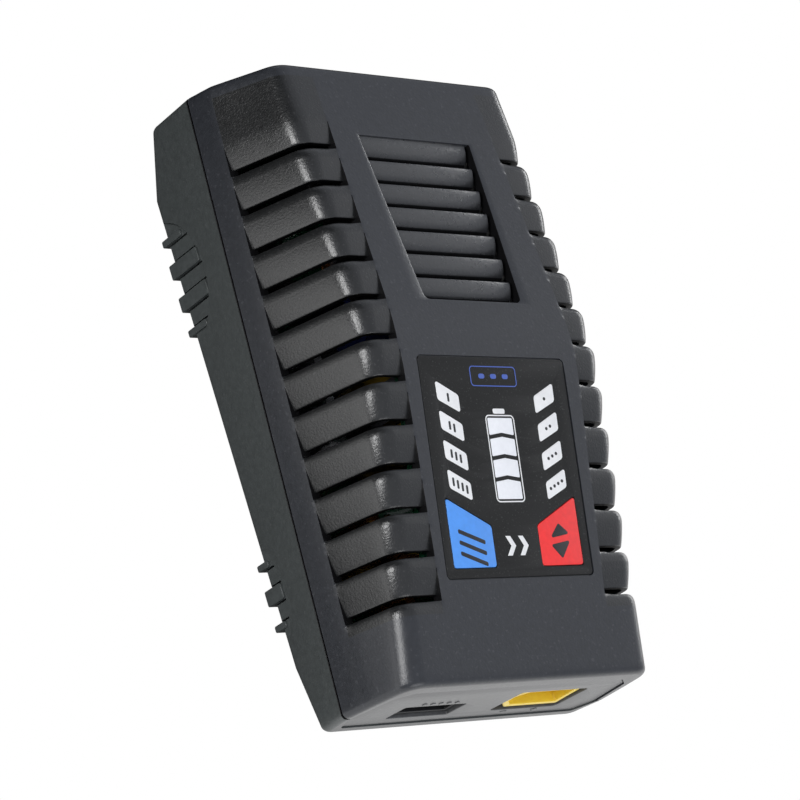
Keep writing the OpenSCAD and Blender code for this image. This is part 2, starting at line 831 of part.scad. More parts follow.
module output_capacitors() {
  color([0.1, 0.12, 0.3]) for (x = [11, 20]) rod(8, 12, [x, -32, board_top]);
}

module balance_resistors() {
  color([0.08, 0.08, 0.08]) for (k = [0:3], row = [0, 1])
    block([2.4, 1.3, 0.6], [-19 + k * 3.6, -44.4 + row * 2.4, board_top + 0.3]);
}

// ---------- fan ----------

module fan_frame() {
  color([0.1, 0.1, 0.1]) grille_frame() translate([0, 0, fan_low]) {
    difference() {
      rounded_plate(fan_size, fan_size, fan_h, 2);
      rod(fan_bore, 10, [0, 0, -1]);
      for (p = fan_holes) rod(2.4, 10, [p[0], p[1], -1]);
    }
    difference() {
      union() {
        rod(fan_hub_d, 1.4, [0, 0, 0]);
        rod(4.4, 5.4, [0, 0, 0]);
        for (a = [45:120:285]) rotate([0, 0, a])
          translate([fan_hub_d / 2 - 1, -1, 0]) cube([fan_bore / 2 - fan_hub_d / 2 + 2, 2, 1.4]);
      }
      rod(fan_shaft_d + 0.1, 8, [0, 0, -1]);
    }
  }
}

module fan_stator() {
  color([0.7, 0.4, 0.15]) grille_frame() translate([0, 0, fan_low + 1.6]) difference() {
    rod(12, 3, [0, 0, 0]);
    rod(4.6, 5, [0, 0, -1]);
    for (a = [0:90:270]) rotate([0, 0, a]) translate([3.8, -0.5, -1]) cube([4, 1, 5]);
  }
}

module fan_rotor() {
  blade_low = 1.9;
  blade_h = 5.4;
  color([0.13, 0.13, 0.13]) grille_frame() translate([0, 0, fan_low]) {
    difference() {
      rod(fan_hub_d, blade_h, [0, 0, blade_low]);
      rod(fan_hub_d - 2.4, blade_h - 1, [0, 0, blade_low - 0.2]);
    }
    rod(fan_shaft_d, blade_h + 0.6, [0, 0, 0.4]);
    intersection() {
      difference() {
        rod(fan_bore - 1.2, blade_h, [0, 0, blade_low]);
        rod(fan_hub_d - 0.4, blade_h + 1, [0, 0, blade_low - 0.5]);
      }
      for (a = [0:360 / 7:359]) rotate([0, 0, a])
        translate([fan_bore / 4 + fan_hub_d / 4, 0, 4.6]) rotate([38, 0, 0])
        cube([11, 9, 0.9], center = true);
    }
  }
}

module fan_screws() {
  color([0.7, 0.7, 0.72]) grille_frame() for (p = fan_holes) {
    rod(4, 1.4, [p[0], p[1], fan_low - 1.4]);
    rod(2.2, 9.8, [p[0], p[1], fan_low - 0.1]);
  }
}

// ---------- case screws ----------

module case_screws() {
  color([0.35, 0.35, 0.37]) for (p = screw_xy) difference() {
    union() {
      rod(5.6, 2, [p[0], p[1], 2.1]);
      rod(2.8, screw_end(p) - 4, [p[0], p[1], 4]);
    }
    for (a = [0, 90]) translate([p[0], p[1], 2.1]) rotate([0, 0, a])
      cube([3, 0.8, 2], center = true);
  }
}

// ---------- assembly ----------

top_shell();
bottom_shell();
output_panel();
inlet_panel();
front_overlay();
mode_key();
current_key();
mode_plunger();
current_plunger();
mode_light_guide();
current_light_guide();
charge_bar_guide();
light_baffle();
control_board();
tact_switches();
indicator_leds();
controller_chip();
buzzer();
control_board_screws();
board_link();
power_board();
board_screws();
insulation_sheet();
xt60_housing();
xt60_pins();
balance_header();
balance_pins();
inlet_socket();
inlet_pins();
inlet_fuse();
x_capacitor();
common_mode_choke();
choke_winding();
bridge_rectifier();
bulk_capacitor();
transformer_core();
transformer_bobbin();
heat_sinks();
power_transistors();
output_inductor();
inductor_winding();
output_capacitors();
balance_resistors();
fan_frame();
fan_stator();
fan_rotor();
fan_screws();
case_screws();
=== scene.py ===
"""Looks of the balance battery charger.

Lengths are in millimetres, and MM scales each mesh to metres as it is placed in the row frame.
The stage, the lamps and the camera are in metres.
"""
import bpy, bmesh, json, math
from math import sin, cos, tan, atan2, pi, radians
from mathutils import Matrix, Vector


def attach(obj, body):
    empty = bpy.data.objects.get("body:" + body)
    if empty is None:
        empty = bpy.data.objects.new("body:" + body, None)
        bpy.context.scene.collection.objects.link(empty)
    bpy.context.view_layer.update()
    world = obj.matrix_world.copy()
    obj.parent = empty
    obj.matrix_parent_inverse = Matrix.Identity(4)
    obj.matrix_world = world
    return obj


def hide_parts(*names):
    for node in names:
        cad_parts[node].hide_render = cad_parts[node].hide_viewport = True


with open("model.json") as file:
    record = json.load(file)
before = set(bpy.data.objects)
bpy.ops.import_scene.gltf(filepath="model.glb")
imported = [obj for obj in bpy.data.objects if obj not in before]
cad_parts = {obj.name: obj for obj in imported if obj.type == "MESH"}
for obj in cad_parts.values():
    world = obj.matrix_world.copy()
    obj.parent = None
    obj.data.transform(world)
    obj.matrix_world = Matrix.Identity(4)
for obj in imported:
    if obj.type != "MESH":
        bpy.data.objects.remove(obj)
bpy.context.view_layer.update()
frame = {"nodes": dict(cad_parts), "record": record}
nodes = frame["nodes"]

# ---------- frames ----------

MM = Matrix.Scale(0.001, 4)


def rx(deg):
    return Matrix.Rotation(radians(deg), 4, "X")


def at(x, y, z):
    return Matrix.Translation((x, y, z))


NEAR, FAR = -60.2, 60.2   # ends of the case along Y: outputs near, mains inlet far
MAIN = Matrix.Identity(4)
CASE = at(0, 0, 16.67) @ rx(4.63)   # in the seam's plane
LABEL = CASE @ at(0, -20.9, 22.44) @ rx(8.643)   # on the face, at the overlay's centre
GRILLE = CASE @ at(0, 27.9, 22.67) @ rx(-7.463)   # on the face, at the grille's centre
NEAR_FACE = CASE @ at(0, NEAR, 0) @ rx(-2.63) @ rx(90)
FAR_FACE = CASE @ at(0, FAR, 0) @ rx(2) @ rx(90)


# ---------- materials ----------

CLOUD_SCALE = 900   # of the noise that varies colour and roughness, per metre
ROUGH_SPREAD = 0.06
SPECK_LOW, SPECK_HIGH = 0.64, 0.74   # noise values between which specks come in


def mat(name, color, rough, grain, grain_scale=2500, metal=0.0, vary=0.12, speck=0.0,
        speck_color=(0.3, 0.3, 0.3), spec=0.5, coat=0.0, soft=0.0):
    """A procedural finish: slightly uneven base colour, grain (mm deep) as bump, optional light specks."""
    m = bpy.data.materials.new(name)
    m.use_nodes = True
    n, links = m.node_tree.nodes, m.node_tree.links
    b = n["Principled BSDF"]
    b.inputs["Metallic"].default_value = metal
    b.inputs["Specular IOR Level"].default_value = spec
    b.inputs["Coat Weight"].default_value = coat
    coord = n.new("ShaderNodeTexCoord")
    cloud = n.new("ShaderNodeTexNoise")
    cloud.inputs["Scale"].default_value = CLOUD_SCALE
    cloud.inputs["Detail"].default_value = 4
    links.new(coord.outputs["Object"], cloud.inputs["Vector"])
    ramp = n.new("ShaderNodeValToRGB")
    ramp.color_ramp.elements[0].position = 0.3
    ramp.color_ramp.elements[1].position = 0.7
    ramp.color_ramp.elements[0].color = tuple(c * (1 - vary) for c in color) + (1,)
    ramp.color_ramp.elements[1].color = tuple(min(1, c * (1 + vary)) for c in color) + (1,)
    links.new(cloud.outputs["Fac"], ramp.inputs["Fac"])
    out = ramp.outputs["Color"]
    if speck:
        dots = n.new("ShaderNodeTexNoise")
        dots.inputs["Scale"].default_value = grain_scale * 0.9
        dots.inputs["Detail"].default_value = 1
        links.new(coord.outputs["Object"], dots.inputs["Vector"])
        pick = n.new("ShaderNodeMapRange")
        pick.inputs["From Min"].default_value = SPECK_LOW
        pick.inputs["From Max"].default_value = SPECK_HIGH
        pick.inputs["To Max"].default_value = speck
        links.new(dots.outputs["Fac"], pick.inputs["Value"])
        mix = n.new("ShaderNodeMix")
        mix.data_type = "RGBA"
        links.new(pick.outputs["Result"], mix.inputs["Factor"])
        links.new(out, mix.inputs["A"])
        mix.inputs["B"].default_value = tuple(speck_color) + (1,)
        out = mix.outputs["Result"]
    links.new(out, b.inputs["Base Color"])
    uneven = n.new("ShaderNodeMapRange")
    uneven.inputs["To Min"].default_value = rough - ROUGH_SPREAD
    uneven.inputs["To Max"].default_value = rough + ROUGH_SPREAD
    links.new(cloud.outputs["Fac"], uneven.inputs["Value"])
    links.new(uneven.outputs["Result"], b.inputs["Roughness"])
    tex = n.new("ShaderNodeTexNoise")
    tex.inputs["Scale"].default_value = grain_scale
    tex.inputs["Detail"].default_value = 2
    links.new(coord.outputs["Object"], tex.inputs["Vector"])
    bump = n.new("ShaderNodeBump")
    bump.inputs["Strength"].default_value = 1.0
    bump.inputs["Distance"].default_value = grain * 0.001
    links.new(tex.outputs["Fac"], bump.inputs["Height"])
    links.new(bump.outputs["Normal"], b.inputs["Normal"])
    if soft:
        b.inputs["Subsurface Weight"].default_value = soft
        b.inputs["Subsurface Radius"].default_value = (0.001, 0.001, 0.001)
    return m


M = {
    "case_black": mat("case_black", (0.023, 0.025, 0.030), 0.34, 0.03, 1700, speck=0.5,
                      speck_color=(0.06, 0.062, 0.07)),
    "gill_black": mat("gill_black", (0.010, 0.0105, 0.011), 0.31, 0.05, 2500, spec=0.65, speck=0.5,
                      speck_color=(0.05, 0.05, 0.05)),
    # Painted shade: near-black for the seam grooves, the walls of gill slots and sunk plates, the grille
    # window's right wall and the louvres' shaded parts.
    "painted_shade_black": mat("painted_shade_black", (0.004, 0.004, 0.0045), 0.5, 0.02, 1700, spec=0.15),
    "louvre_black": mat("louvre_black", (0.020, 0.021, 0.023), 0.29, 0.03, 1700, spec=0.7, speck=0.5,
                        speck_color=(0.07, 0.07, 0.075)),
    "case_grey": mat("case_grey", (0.060, 0.067, 0.067), 0.42, 0.05, 1700, speck=0.4,
                     speck_color=(0.10, 0.105, 0.105)),
    "end_grey": mat("end_grey", (0.085, 0.086, 0.088), 0.38, 0.05, 1700, speck=0.4,
                    speck_color=(0.16, 0.16, 0.16)),
    "overlay_print": mat("overlay_print", (0.012, 0.012, 0.0115), 0.55, 0.012, 3000, spec=0.32, speck=0.4,
                         speck_color=(0.08, 0.08, 0.08)),
    "key_blue": mat("key_blue", (0.085, 0.32, 0.88), 0.45, 0.010, 3600, vary=0.05),
    "key_red": mat("key_red", (0.93, 0.035, 0.035), 0.45, 0.010, 3600, vary=0.05),
    "light_white": mat("light_white", (0.88, 0.88, 0.88), 0.4, 0.006, 3600, vary=0.03, soft=0.2),
    "bar_white": mat("bar_white", (0.90, 0.91, 0.95), 0.4, 0.006, 3600, vary=0.03, soft=0.2),
    "print_white": mat("print_white", (0.85, 0.85, 0.85), 0.5, 0.004, 3600, vary=0.03),
    "print_black": mat("print_black", (0.02, 0.02, 0.022), 0.5, 0.004, 3600),
    "print_blue": mat("print_blue", (0.07, 0.13, 0.48), 0.5, 0.004, 3600, vary=0.05),
    "dark_plastic": mat("dark_plastic", (0.008, 0.008, 0.009), 0.45, 0.012, 2500, spec=0.35),
    "board_green": mat("board_green", (0.008, 0.075, 0.032), 0.28, 0.006, 2000, vary=0.25, coat=0.3),
    "connector_yellow": mat("connector_yellow", (1.0, 0.70, 0.05), 0.35, 0.010, 2200, vary=0.05, soft=0.1),
    "connector_white": mat("connector_white", (0.8, 0.79, 0.72), 0.4, 0.010, 2200, vary=0.05),
    "gold": mat("gold", (0.95, 0.66, 0.22), 0.22, 0.004, 2500, metal=1.0, vary=0.08),
    "tin": mat("tin", (0.75, 0.75, 0.73), 0.3, 0.006, 2500, metal=1.0, vary=0.08),
    "screw_steel": mat("screw_steel", (0.35, 0.35, 0.37), 0.33, 0.008, 2500, metal=1.0, vary=0.1),
    "aluminium": mat("aluminium", (0.72, 0.73, 0.75), 0.36, 0.010, 2500, metal=1.0, vary=0.08),
    "ferrite": mat("ferrite", (0.05, 0.05, 0.055), 0.5, 0.03, 1500),
    "copper": mat("copper", (0.30, 0.12, 0.04), 0.28, 0.008, 2000, metal=0.85, vary=0.12),
    "tape_yellow": mat("tape_yellow", (0.20, 0.13, 0.015), 0.35, 0.006, 1500, vary=0.06),
    "sleeve_blue": mat("sleeve_blue", (0.012, 0.018, 0.07), 0.25, 0.004, 1500),
    "paper": mat("paper", (0.7, 0.69, 0.6), 0.7, 0.02, 1500, vary=0.08),
    "led_body": mat("led_body", (0.86, 0.84, 0.68), 0.25, 0.004, 2000, vary=0.05),
}

SLOT_MAT = {s["node"]: s["material_slot"] for s in frame["record"]["subparts"]}
for node_name, obj in nodes.items():
    finish = M[SLOT_MAT[node_name]]
    if not obj.material_slots:
        obj.data.materials.append(finish)
    for s in obj.material_slots:
        s.material = finish


# ---------- helpers ----------

def put(obj, mats, body, stands_for=(), angle=32):
    """Gives a mesh its materials, shading and body, and hides the nodes it stands for."""
    me = obj.data
    ids = [p.material_index for p in me.polygons]
    me.materials.clear()
    for m in mats:
        me.materials.append(M[m])
    for p, i in zip(me.polygons, ids):
        p.material_index = min(i, len(mats) - 1)
        p.use_smooth = True
    me.set_sharp_from_angle(angle=radians(angle))
    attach(obj, body)
    if stands_for:
        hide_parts(*stands_for)
    return obj


def link_mesh(name, me):
    obj = bpy.data.objects.new(name, me)
    bpy.context.scene.collection.objects.link(obj)
    return obj


def mesh_from(name, verts, faces, mat_ids=None, matrix=MAIN):
    me = bpy.data.meshes.new(name)
    me.from_pydata([tuple(v) for v in verts], [], faces)
    if mat_ids:
        for p, i in zip(me.polygons, mat_ids):
            p.material_index = i
    me.transform(MM @ matrix)
    bm = bmesh.new()
    bm.from_mesh(me)
    bmesh.ops.recalc_face_normals(bm, faces=bm.faces)
    bm.to_mesh(me)
    bm.free()
    return link_mesh(name, me)


def rounded(poly, r, n=5):
    """The outline with each corner made an arc of radius r (one radius, or one per corner)."""
    out = []
    count = len(poly)
    for i, p in enumerate(poly):
        radius = r[i] if isinstance(r, (list, tuple)) else r
        p, a, c = Vector(p), Vector(poly[i - 1]), Vector(poly[(i + 1) % count])
        u, v = (a - p).normalized(), (c - p).normalized()
        half = math.acos(max(-1, min(1, u.dot(v)))) / 2
        if radius <= 0 or half > 1.5:
            out.append(tuple(p))
            continue
        cut = min(radius / tan(half), 0.45 * (a - p).length, 0.45 * (c - p).length)
        rad = cut * tan(half)
        centre = p + (u + v).normalized() * (rad / sin(half))
        s, e = p + u * cut - centre, p + v * cut - centre
        turn = s.angle_signed(e)
        for k in range(n + 1):
            g = -turn * k / n
            out.append((centre.x + s.x * cos(g) - s.y * sin(g), centre.y + s.x * sin(g) + s.y * cos(g)))
    return out


def plate(name, loops, low, high, matrix, bevel=0.1, steps=2):
    """A flat part between two heights with rounded rims; loops after the first are holes."""
    cu = bpy.data.curves.new(name, "CURVE")
    cu.dimensions = "2D"
    cu.fill_mode = "BOTH"
    for loop in loops:
        sp = cu.splines.new("POLY")
        sp.points.add(len(loop) - 1)
        for q, p in zip(sp.points, loop):
            q.co = (p[0], p[1], 0, 1)
        sp.use_cyclic_u = True
    cu.bevel_depth = bevel
    cu.bevel_resolution = steps
    cu.offset = -bevel
    cu.extrude = (high - low) / 2 - bevel
    tmp = bpy.data.objects.new(name, cu)
    bpy.context.scene.collection.objects.link(tmp)
    dg = bpy.context.evaluated_depsgraph_get()
    me = bpy.data.meshes.new_from_object(tmp.evaluated_get(dg))
    bpy.data.objects.remove(tmp)
    bm = bmesh.new()
    bm.from_mesh(me)
    bmesh.ops.remove_doubles(bm, verts=bm.verts, dist=1e-4)
    bm.to_mesh(me)
    bm.free()
    me.transform(MM @ matrix @ at(0, 0, (low + high) / 2))
    me.name = name
    return link_mesh(name, me)


def lathe(name, profile, matrix, n=40):
    """A solid of revolution about local Z from (radius, height) points."""
    verts, faces = [], []
    k = len(profile)
    for i in range(n):
        a = 2 * pi * i / n
        verts += [(r * cos(a), r * sin(a), z) for r, z in profile]
    for i in range(n):
        j = (i + 1) % n
        for q in range(k - 1):
            faces.append((i * k + q, j * k + q, j * k + q + 1, i * k + q + 1))
    if profile[0][0] > 0:
        faces.append(tuple(i * k for i in range(n)))
    if profile[-1][0] > 0:
        faces.append(tuple(i * k + k - 1 for i in reversed(range(n))))
    obj = mesh_from(name, verts, faces, matrix=matrix)
    bm = bmesh.new()
    bm.from_mesh(obj.data)
    bmesh.ops.remove_doubles(bm, verts=bm.verts, dist=1e-7)
    bmesh.ops.recalc_face_normals(bm, faces=bm.faces)
    bm.to_mesh(obj.data)
    bm.free()
    return obj


def merge(objs, name):
    """Joins finished pieces into one mesh object."""
    bm = bmesh.new()
    for o in objs:
        bm.from_mesh(o.data)
        bpy.data.objects.remove(o)
    me = bpy.data.meshes.new(name)
    bm.to_mesh(me)
    bm.free()
    return link_mesh(name, me)


def cut(obj, cutters):
    """Takes the cutters away from obj with one exact boolean."""
    tool = merge(cutters, "cutter")
    mod = obj.modifiers.new("cut", "BOOLEAN")
    mod.operation = "DIFFERENCE"
    mod.solver = "EXACT"
    mod.object = tool
    dg = bpy.context.evaluated_depsgraph_get()
    me = bpy.data.meshes.new_from_object(obj.evaluated_get(dg))
    obj.modifiers.clear()
    obj.data = me
    bpy.data.objects.remove(tool)
    return obj


def prism(loop, low, high, matrix, flare=None):
    """A closed cutter. With flare = (height, loop2) it opens out to loop2 from there, for a chamfer."""
    k = len(loop)
    rings = [(loop, low), (loop, high)]
    if flare:
        rings = [(loop, low), (loop, flare[0]), (flare[1], high)]
    verts, faces = [], []
    for ring, z in rings:
        verts += [(p[0], p[1], z) for p in ring]
    for a in range(len(rings) - 1):
        for i in range(k):
            j = (i + 1) % k
            faces.append((a * k + i, a * k + j, (a + 1) * k + j, (a + 1) * k + i))
    faces.append(tuple(reversed(range(k))))
    faces.append(tuple((len(rings) - 1) * k + i for i in range(k)))
    return mesh_from("prism", verts, faces, matrix=matrix)


def shell(name, rows_out, rows_in, hole, matrix, mat_of, wall_mat=0):
    """A closed skin from two matching grids of points, with capped ends.

    hole(j, c) leaves a cell open and walls it with wall_mat. mat_of(j, c) is a cell's material,
    with c = -1 for a cap.
    """
    nr, nc = len(rows_out), len(rows_out[0])
    verts = [p for row in rows_out for p in row] + [p for row in rows_in for p in row]
    base = nr * nc
    cells, ids = [], []
    for j in range(nr - 1):
        for c in range(nc - 1):
            if not hole(j, c):
                cells.append((j * nc + c, j * nc + c + 1, (j + 1) * nc + c + 1, (j + 1) * nc + c))
                ids.append(mat_of(j, c))
    cells.append(tuple(reversed(range(nc))))
    cells.append(tuple((nr - 1) * nc + c for c in range(nc)))
    ids += [mat_of(0, -1), mat_of(nr - 1, -1)]
    edges = {}
    for f, i in zip(cells, ids):
        for a, b in zip(f, f[1:] + f[:1]):
            edge = (min(a, b), max(a, b))
            edges[edge] = None if edge in edges else (a, b, i)
    faces, fid = list(cells), list(ids)
    for f in cells:
        faces.append(tuple(v + base for v in reversed(f)))
        fid.append(0)
    for e in edges.values():
        if e:
            faces.append((e[1], e[0], e[0] + base, e[1] + base))
            on_rim = e[0] % nc in (0, nc - 1) and e[1] % nc in (0, nc - 1)
            fid.append(e[2] if on_rim else wall_mat)
    return mesh_from(name, verts, faces, fid, matrix)


# ---------- case sections, case frame ----------

SHOULDER, SINK, WALL = 5.7, 0.95, 2.0   # shoulder height, depth of a sunk gill plate, wall thickness
SIDE_LEAN = 0.65   # how far the side strip leans in from seam to shoulder
SEAM_DEEP = 0.6   # depth of the groove along the seam
RIDGE_R = 4.5   # radius between the slanted gills and the face
CREST_Y, CREST_Z = 2.5, 26   # where the face's two slopes would meet
NEAR_SLOPE, FAR_SLOPE = 0.152, 0.131
CREST_HALF = 7   # the slopes blend over this length on each side
LEAN_FROM, LEAN_OVER = 47, 13   # where an end starts to lean, and over what length
NEAR_LEAN, FAR_LEAN = 0.046, 0.035


def half_w(y):
    """Half width of the case at the seam."""
    return 34.3 + 0.019 * y


def face_z(y):
    """Height of the face: two slopes joined by a parabola."""
    u = y - CREST_Y
    if u > CREST_HALF:
        return CREST_Z - FAR_SLOPE * u
    if u < -CREST_HALF:
        return CREST_Z + NEAR_SLOPE * u
    u += CREST_HALF
    start = CREST_Z - NEAR_SLOPE * CREST_HALF
    return start + NEAR_SLOPE * u - (NEAR_SLOPE + FAR_SLOPE) / (4 * CREST_HALF) * u * u


def ridge_x(y):
    """X where the slanted side would meet the face."""
    return 29.6 - 0.02 * y


def gill_inner(y):
    """X of the gills' inner edge."""
    return 22.4 - 0.035 * abs(y - CREST_Y)


def ramp_up(u):
    return min(1, max(0, u))


def lean(y):
    """Shear of the sections towards the leaning ends."""
    near_part = ramp_up((-LEAN_FROM - y) / LEAN_OVER)
    return NEAR_LEAN * near_part - FAR_LEAN * ramp_up((y - LEAN_FROM) / LEAN_OVER)


def ease(s):
    """Inward offset that rounds the shoulder crease, at distance s from it."""
    return 0.0085 * max(0, 3 - s) ** 2


def upper_section(y, d):
    """Right half of the upper section, inset by d, from the seam to the middle.

    A point is (x, z, nx, nz, f, g): n points outwards, f is its share of a plate's sink,
    g of an end's rounding.
    """
    w = half_w(y) - d
    xs = w - SIDE_LEAN
    xv, h = ridge_x(y) - d, face_z(y) - d
    turn = atan2(h - SHOULDER, xs - xv)
    r = max(RIDGE_R - d, 1.0)
    cx = xv - r * tan(turn / 2)
    nx, nz = cos(pi / 2 - turn), sin(pi / 2 - turn)
    ax, az = cx + r * nx, h - r + r * nz
    ln = math.hypot(ax - xs, az - SHOULDER)
    ux, uz = (ax - xs) / ln, (az - SHOULDER) / ln
    seam_in = 0.0 if d >= WALL else SEAM_DEEP
    pts = [(w - seam_in, 0.17, 1, 0, 0, 0), (w - seam_in / 5, 0.18, 1, 0, 0, 0), (w, 0.30, 1, 0, 0, 0)]
    for z in (1.2, 2.6, 4.0, 5.1):
        pts.append((w - SIDE_LEAN * z / SHOULDER - ease(SHOULDER - z), z, 1, 0, 0, 0))
    for s, f, g in ((0.12, 0, 0), (0.24, 1, 0.2), (0.5, 1, 0.6), (1.2, 1, 1)):
        pts.append((xs + ux * s - ease(s), SHOULDER + uz * s, nx, nz, f, g))
    for t in (0.25, 0.42, 0.6, 0.8):
        pts.append((xs + ux * ln * t, SHOULDER + uz * ln * t, nx, nz, 1, 1))
    for i in range(9):
        a = pi / 2 - turn + turn * i / 8
        pts.append((cx + r * cos(a), h - r + r * sin(a), cos(a), sin(a), 1, 1))
    xi = min(gill_inner(y), cx - 1.2)
    for x, f, g in (((cx + xi) / 2, 1, 0.8), (xi + 0.5, 1, 0.3), (xi + 0.12, 1, 0.1), (xi, 0, 0),
                    (xi - 0.8, 0, 0), (15, 0, 0), (8, 0, 0), (0, 0, 0)):
        pts.append((x, h, 0, 1, f, g))
    return pts


C_OUT, C_IN = 7, 27   # columns of the plates' side walls
SLOT_COUNT, SLOT_FIRST, SLOT_PITCH, HALF_SLOT = 12, 42.25, 7.845, 0.65
SLOTS = [SLOT_FIRST - SLOT_PITCH * k for k in range(SLOT_COUNT)]
GILLS_FROM, GILLS_TO = -47.5, 56
SINK_OVER, SINK_CURVE = 0.8, 1.5   # share of a plate that is sunk, and the curve's power


def end_rows(y_end, sign, r=1.2, n=5):
    """Rows that round over at an end: (y, inset, sink, rounding, a slot follows)."""
    rows_here = []
    for i in range(n + 1):
        a = pi / 2 * i / n
        rows_here.append((y_end + sign * r * (1 - cos(a)), r * (1 - sin(a)), 0, 0, False))
    return rows_here


def plain_rows(*ys):
    return [(y, 0, 0, 0, False) for y in ys]


def sink(w):
    """Depth of a gill plate at w, from 0 at its slot to 1 at the next one."""
    return SINK * max(0, 1 - w / SINK_OVER) ** SINK_CURVE


def upper_rows():
    """Every row of the upper skin: (y, inset, sink, rounding, a slot follows)."""
    rows = end_rows(NEAR, 1) + plain_rows(-57.5, -55, -52.5, -50, -48.3, -47)
    plate_l = SLOT_PITCH - 2 * HALF_SLOT
    for k in range(SLOT_COUNT - 1, -1, -1):
        for back, drop in ((1.9, 0.0), (1.35, 0.04), (0.9, 0.13), (0.5, 0.28), (0.2, 0.48), (0.0, 0.72)):
            low = 0 if k == SLOT_COUNT - 1 else sink(1 - back / plate_l)
            rows.append((SLOTS[k] - HALF_SLOT - back, 0, low, drop, back == 0))
        for fwd, drop in ((0.0, 0.14), (0.07, 0.05), (0.18, 0.01)):
            rows.append((SLOTS[k] + HALF_SLOT + fwd, 0, sink(fwd / plate_l) + drop, 0, False))
        for fwd in (0.5, 1.1, 1.8, 2.6, 3.5, 4.5):
            rows.append((SLOTS[k] + HALF_SLOT + fwd, 0, sink(fwd / plate_l), 0, False))
    rows += [(SLOTS[0] + HALF_SLOT + f, 0, sink(f / plate_l), 0, False) for f in (5.5, 6.5)]
    return rows + plain_rows(51, 53, 55, 57.5) + end_rows(FAR, -1)[::-1]


def grid_rows(rows, section, inner):
    """Points of every row, left and right, in the case frame; inner gives the matching rows of the inside."""
    out = []
    n = len(rows)
    for j, (y, d, low, drop, _) in enumerate(rows):
        yy = y
        if inner:
            yy = min(max(y, NEAR + WALL + 0.02 * j), FAR - WALL - 0.02 * (n - 1 - j))
            d, low, drop = WALL, 0, 0
        k = lean(y)
        line = []
        for x, z, nx, nz, f, g in section(yy, d):
            e = -low * f - drop * g
            line.append((x + nx * e, yy + k * z, z + nz * e))
        out.append(line + [(-p[0], p[1], p[2]) for p in line[-2::-1]])
    return out


# ---------- top shell ----------

rows = upper_rows()
out_grid = grid_rows(rows, upper_section, False)
in_grid = grid_rows(rows, upper_section, True)
half_cols = len(upper_section(0, 0))
cols = 2 * half_cols - 1


def side_col(c):
    return c if c < half_cols - 1 else cols - 2 - c


def gill_hole(j, c):
    return rows[j][4] and C_OUT <= side_col(c) < C_IN


def upper_mat(j, c):
    """0 case, 1 gill, 2 end cap, 3 painted shade in the seam groove, on sunk plates' side walls and on slot
    walls.
    """
    if c < 0:
        return 2
    y = rows[j][0]
    # The seam groove and the side walls beside sunk plates are painted shade.
    if side_col(c) < 2 or (side_col(c) in (C_OUT, C_IN - 1) and rows[j][2] > 0.1):
        return 3
    return 1 if (C_OUT + 1 <= side_col(c) < C_IN - 1 and GILLS_FROM < y < GILLS_TO) else 0


# The gill slots' walls take material 3, which is painted shade.
top = shell("top_shell_skin", out_grid, in_grid, gill_hole, CASE, upper_mat, 3)


WINDOW_HALF_L, WINDOW_HALF_NEAR, WINDOW_HALF_FAR = 17.4, 12.3, 14.2
OVERLAY_W, OVERLAY_L = 37.0, 40.6
RECESS_GAP, RECESS_FLOOR = 0.25, -0.5   # the recess is wider than the overlay by the gap all round
LIGHT_TOP, LIGHT_PITCH = 15.6, 5.4
BARS_MID, BAR_FIRST, BAR_PITCH, BAR_L = 1.5, -6, 3.95, 3.2
HOLE_LOW, HOLE_HIGH = -4, -0.3   # cutters for holes run from inside the case to above the recess's floor
PANEL_GAP, PANEL_IN, PANEL_OUT = 0.2, 6, 3   # openings for the end panels: gap, reach inwards, outwards


def trapezoid(g):
    """The grille window, grown by g."""
    near_x, far_x, end_y = WINDOW_HALF_NEAR + g, WINDOW_HALF_FAR + g, WINDOW_HALF_L + g
    return [(-near_x, -end_y), (near_x, -end_y), (far_x, end_y), (-far_x, end_y)]


def key_outline(side, g):
    """A key's outline in the label frame, grown by g; side is -1 for mode, 1 for current."""
    p = [(16.4 + g, -5.7 + 1.6 * g), (5.9 - g, -10.9 + 0.7 * g), (5.9 - g, -18.4 - g), (16.4 + g, -18.4 - g)]
    return [(side * x, y) for x, y in p]


def light_outline(side, k, g):
    """The outline of light window k, counted from the mains end, grown by g."""
    t = LIGHT_TOP - LIGHT_PITCH * k
    p = [(14.95 + g, t + 0.22 + 1.4 * g), (9.6 - g, t - 2.4 + 0.7 * g),
         (9.6 - g, t - 5.65 - 1.4 * g), (14.9 + g, t - 3.25 - 0.7 * g)]
    return [(side * x, y) for x, y in p]


def bar_outline(k, g):
    """The outline of charge bar k, counted from the keys, grown by g; inner ends are chevrons."""
    low = BAR_FIRST + BAR_PITCH * k
    high = low + BAR_L
    a, b = (0.45 if k > 0 else 0), (0.45 if k < 3 else 0)
    return [(-3.1 - g, low - g), (0, low - g + a), (3.1 + g, low - g),
            (3.1 + g, high + g), (0, high + g + b), (-3.1 - g, high + g)]


def panel_outline(half, low, high, g):
    """An end panel's eight-cornered outline, grown by g."""
    right_half = [(half - 2 + g, low - g), (half + g, low + 4.5),
                  (half - 2 + g, high - 2.5), (half - 5, high + g)]
    left_half = [(-x, y) for x, y in reversed(right_half)]
    return left_half[-1:] + right_half + left_half[:-1]


def rect(w, h, cx=0.0, cy=0.0):
    return [(cx - w / 2, cy - h / 2), (cx + w / 2, cy - h / 2),
            (cx + w / 2, cy + h / 2), (cx - w / 2, cy + h / 2)]


def near_loop(g, r=1.2):
    return rounded(panel_outline(31.2, -5.1, 12.4, g), r, 4)


def far_loop(g, r=1.2):
    return rounded(panel_outline(30.8, -11.8, 13, g), r, 4)


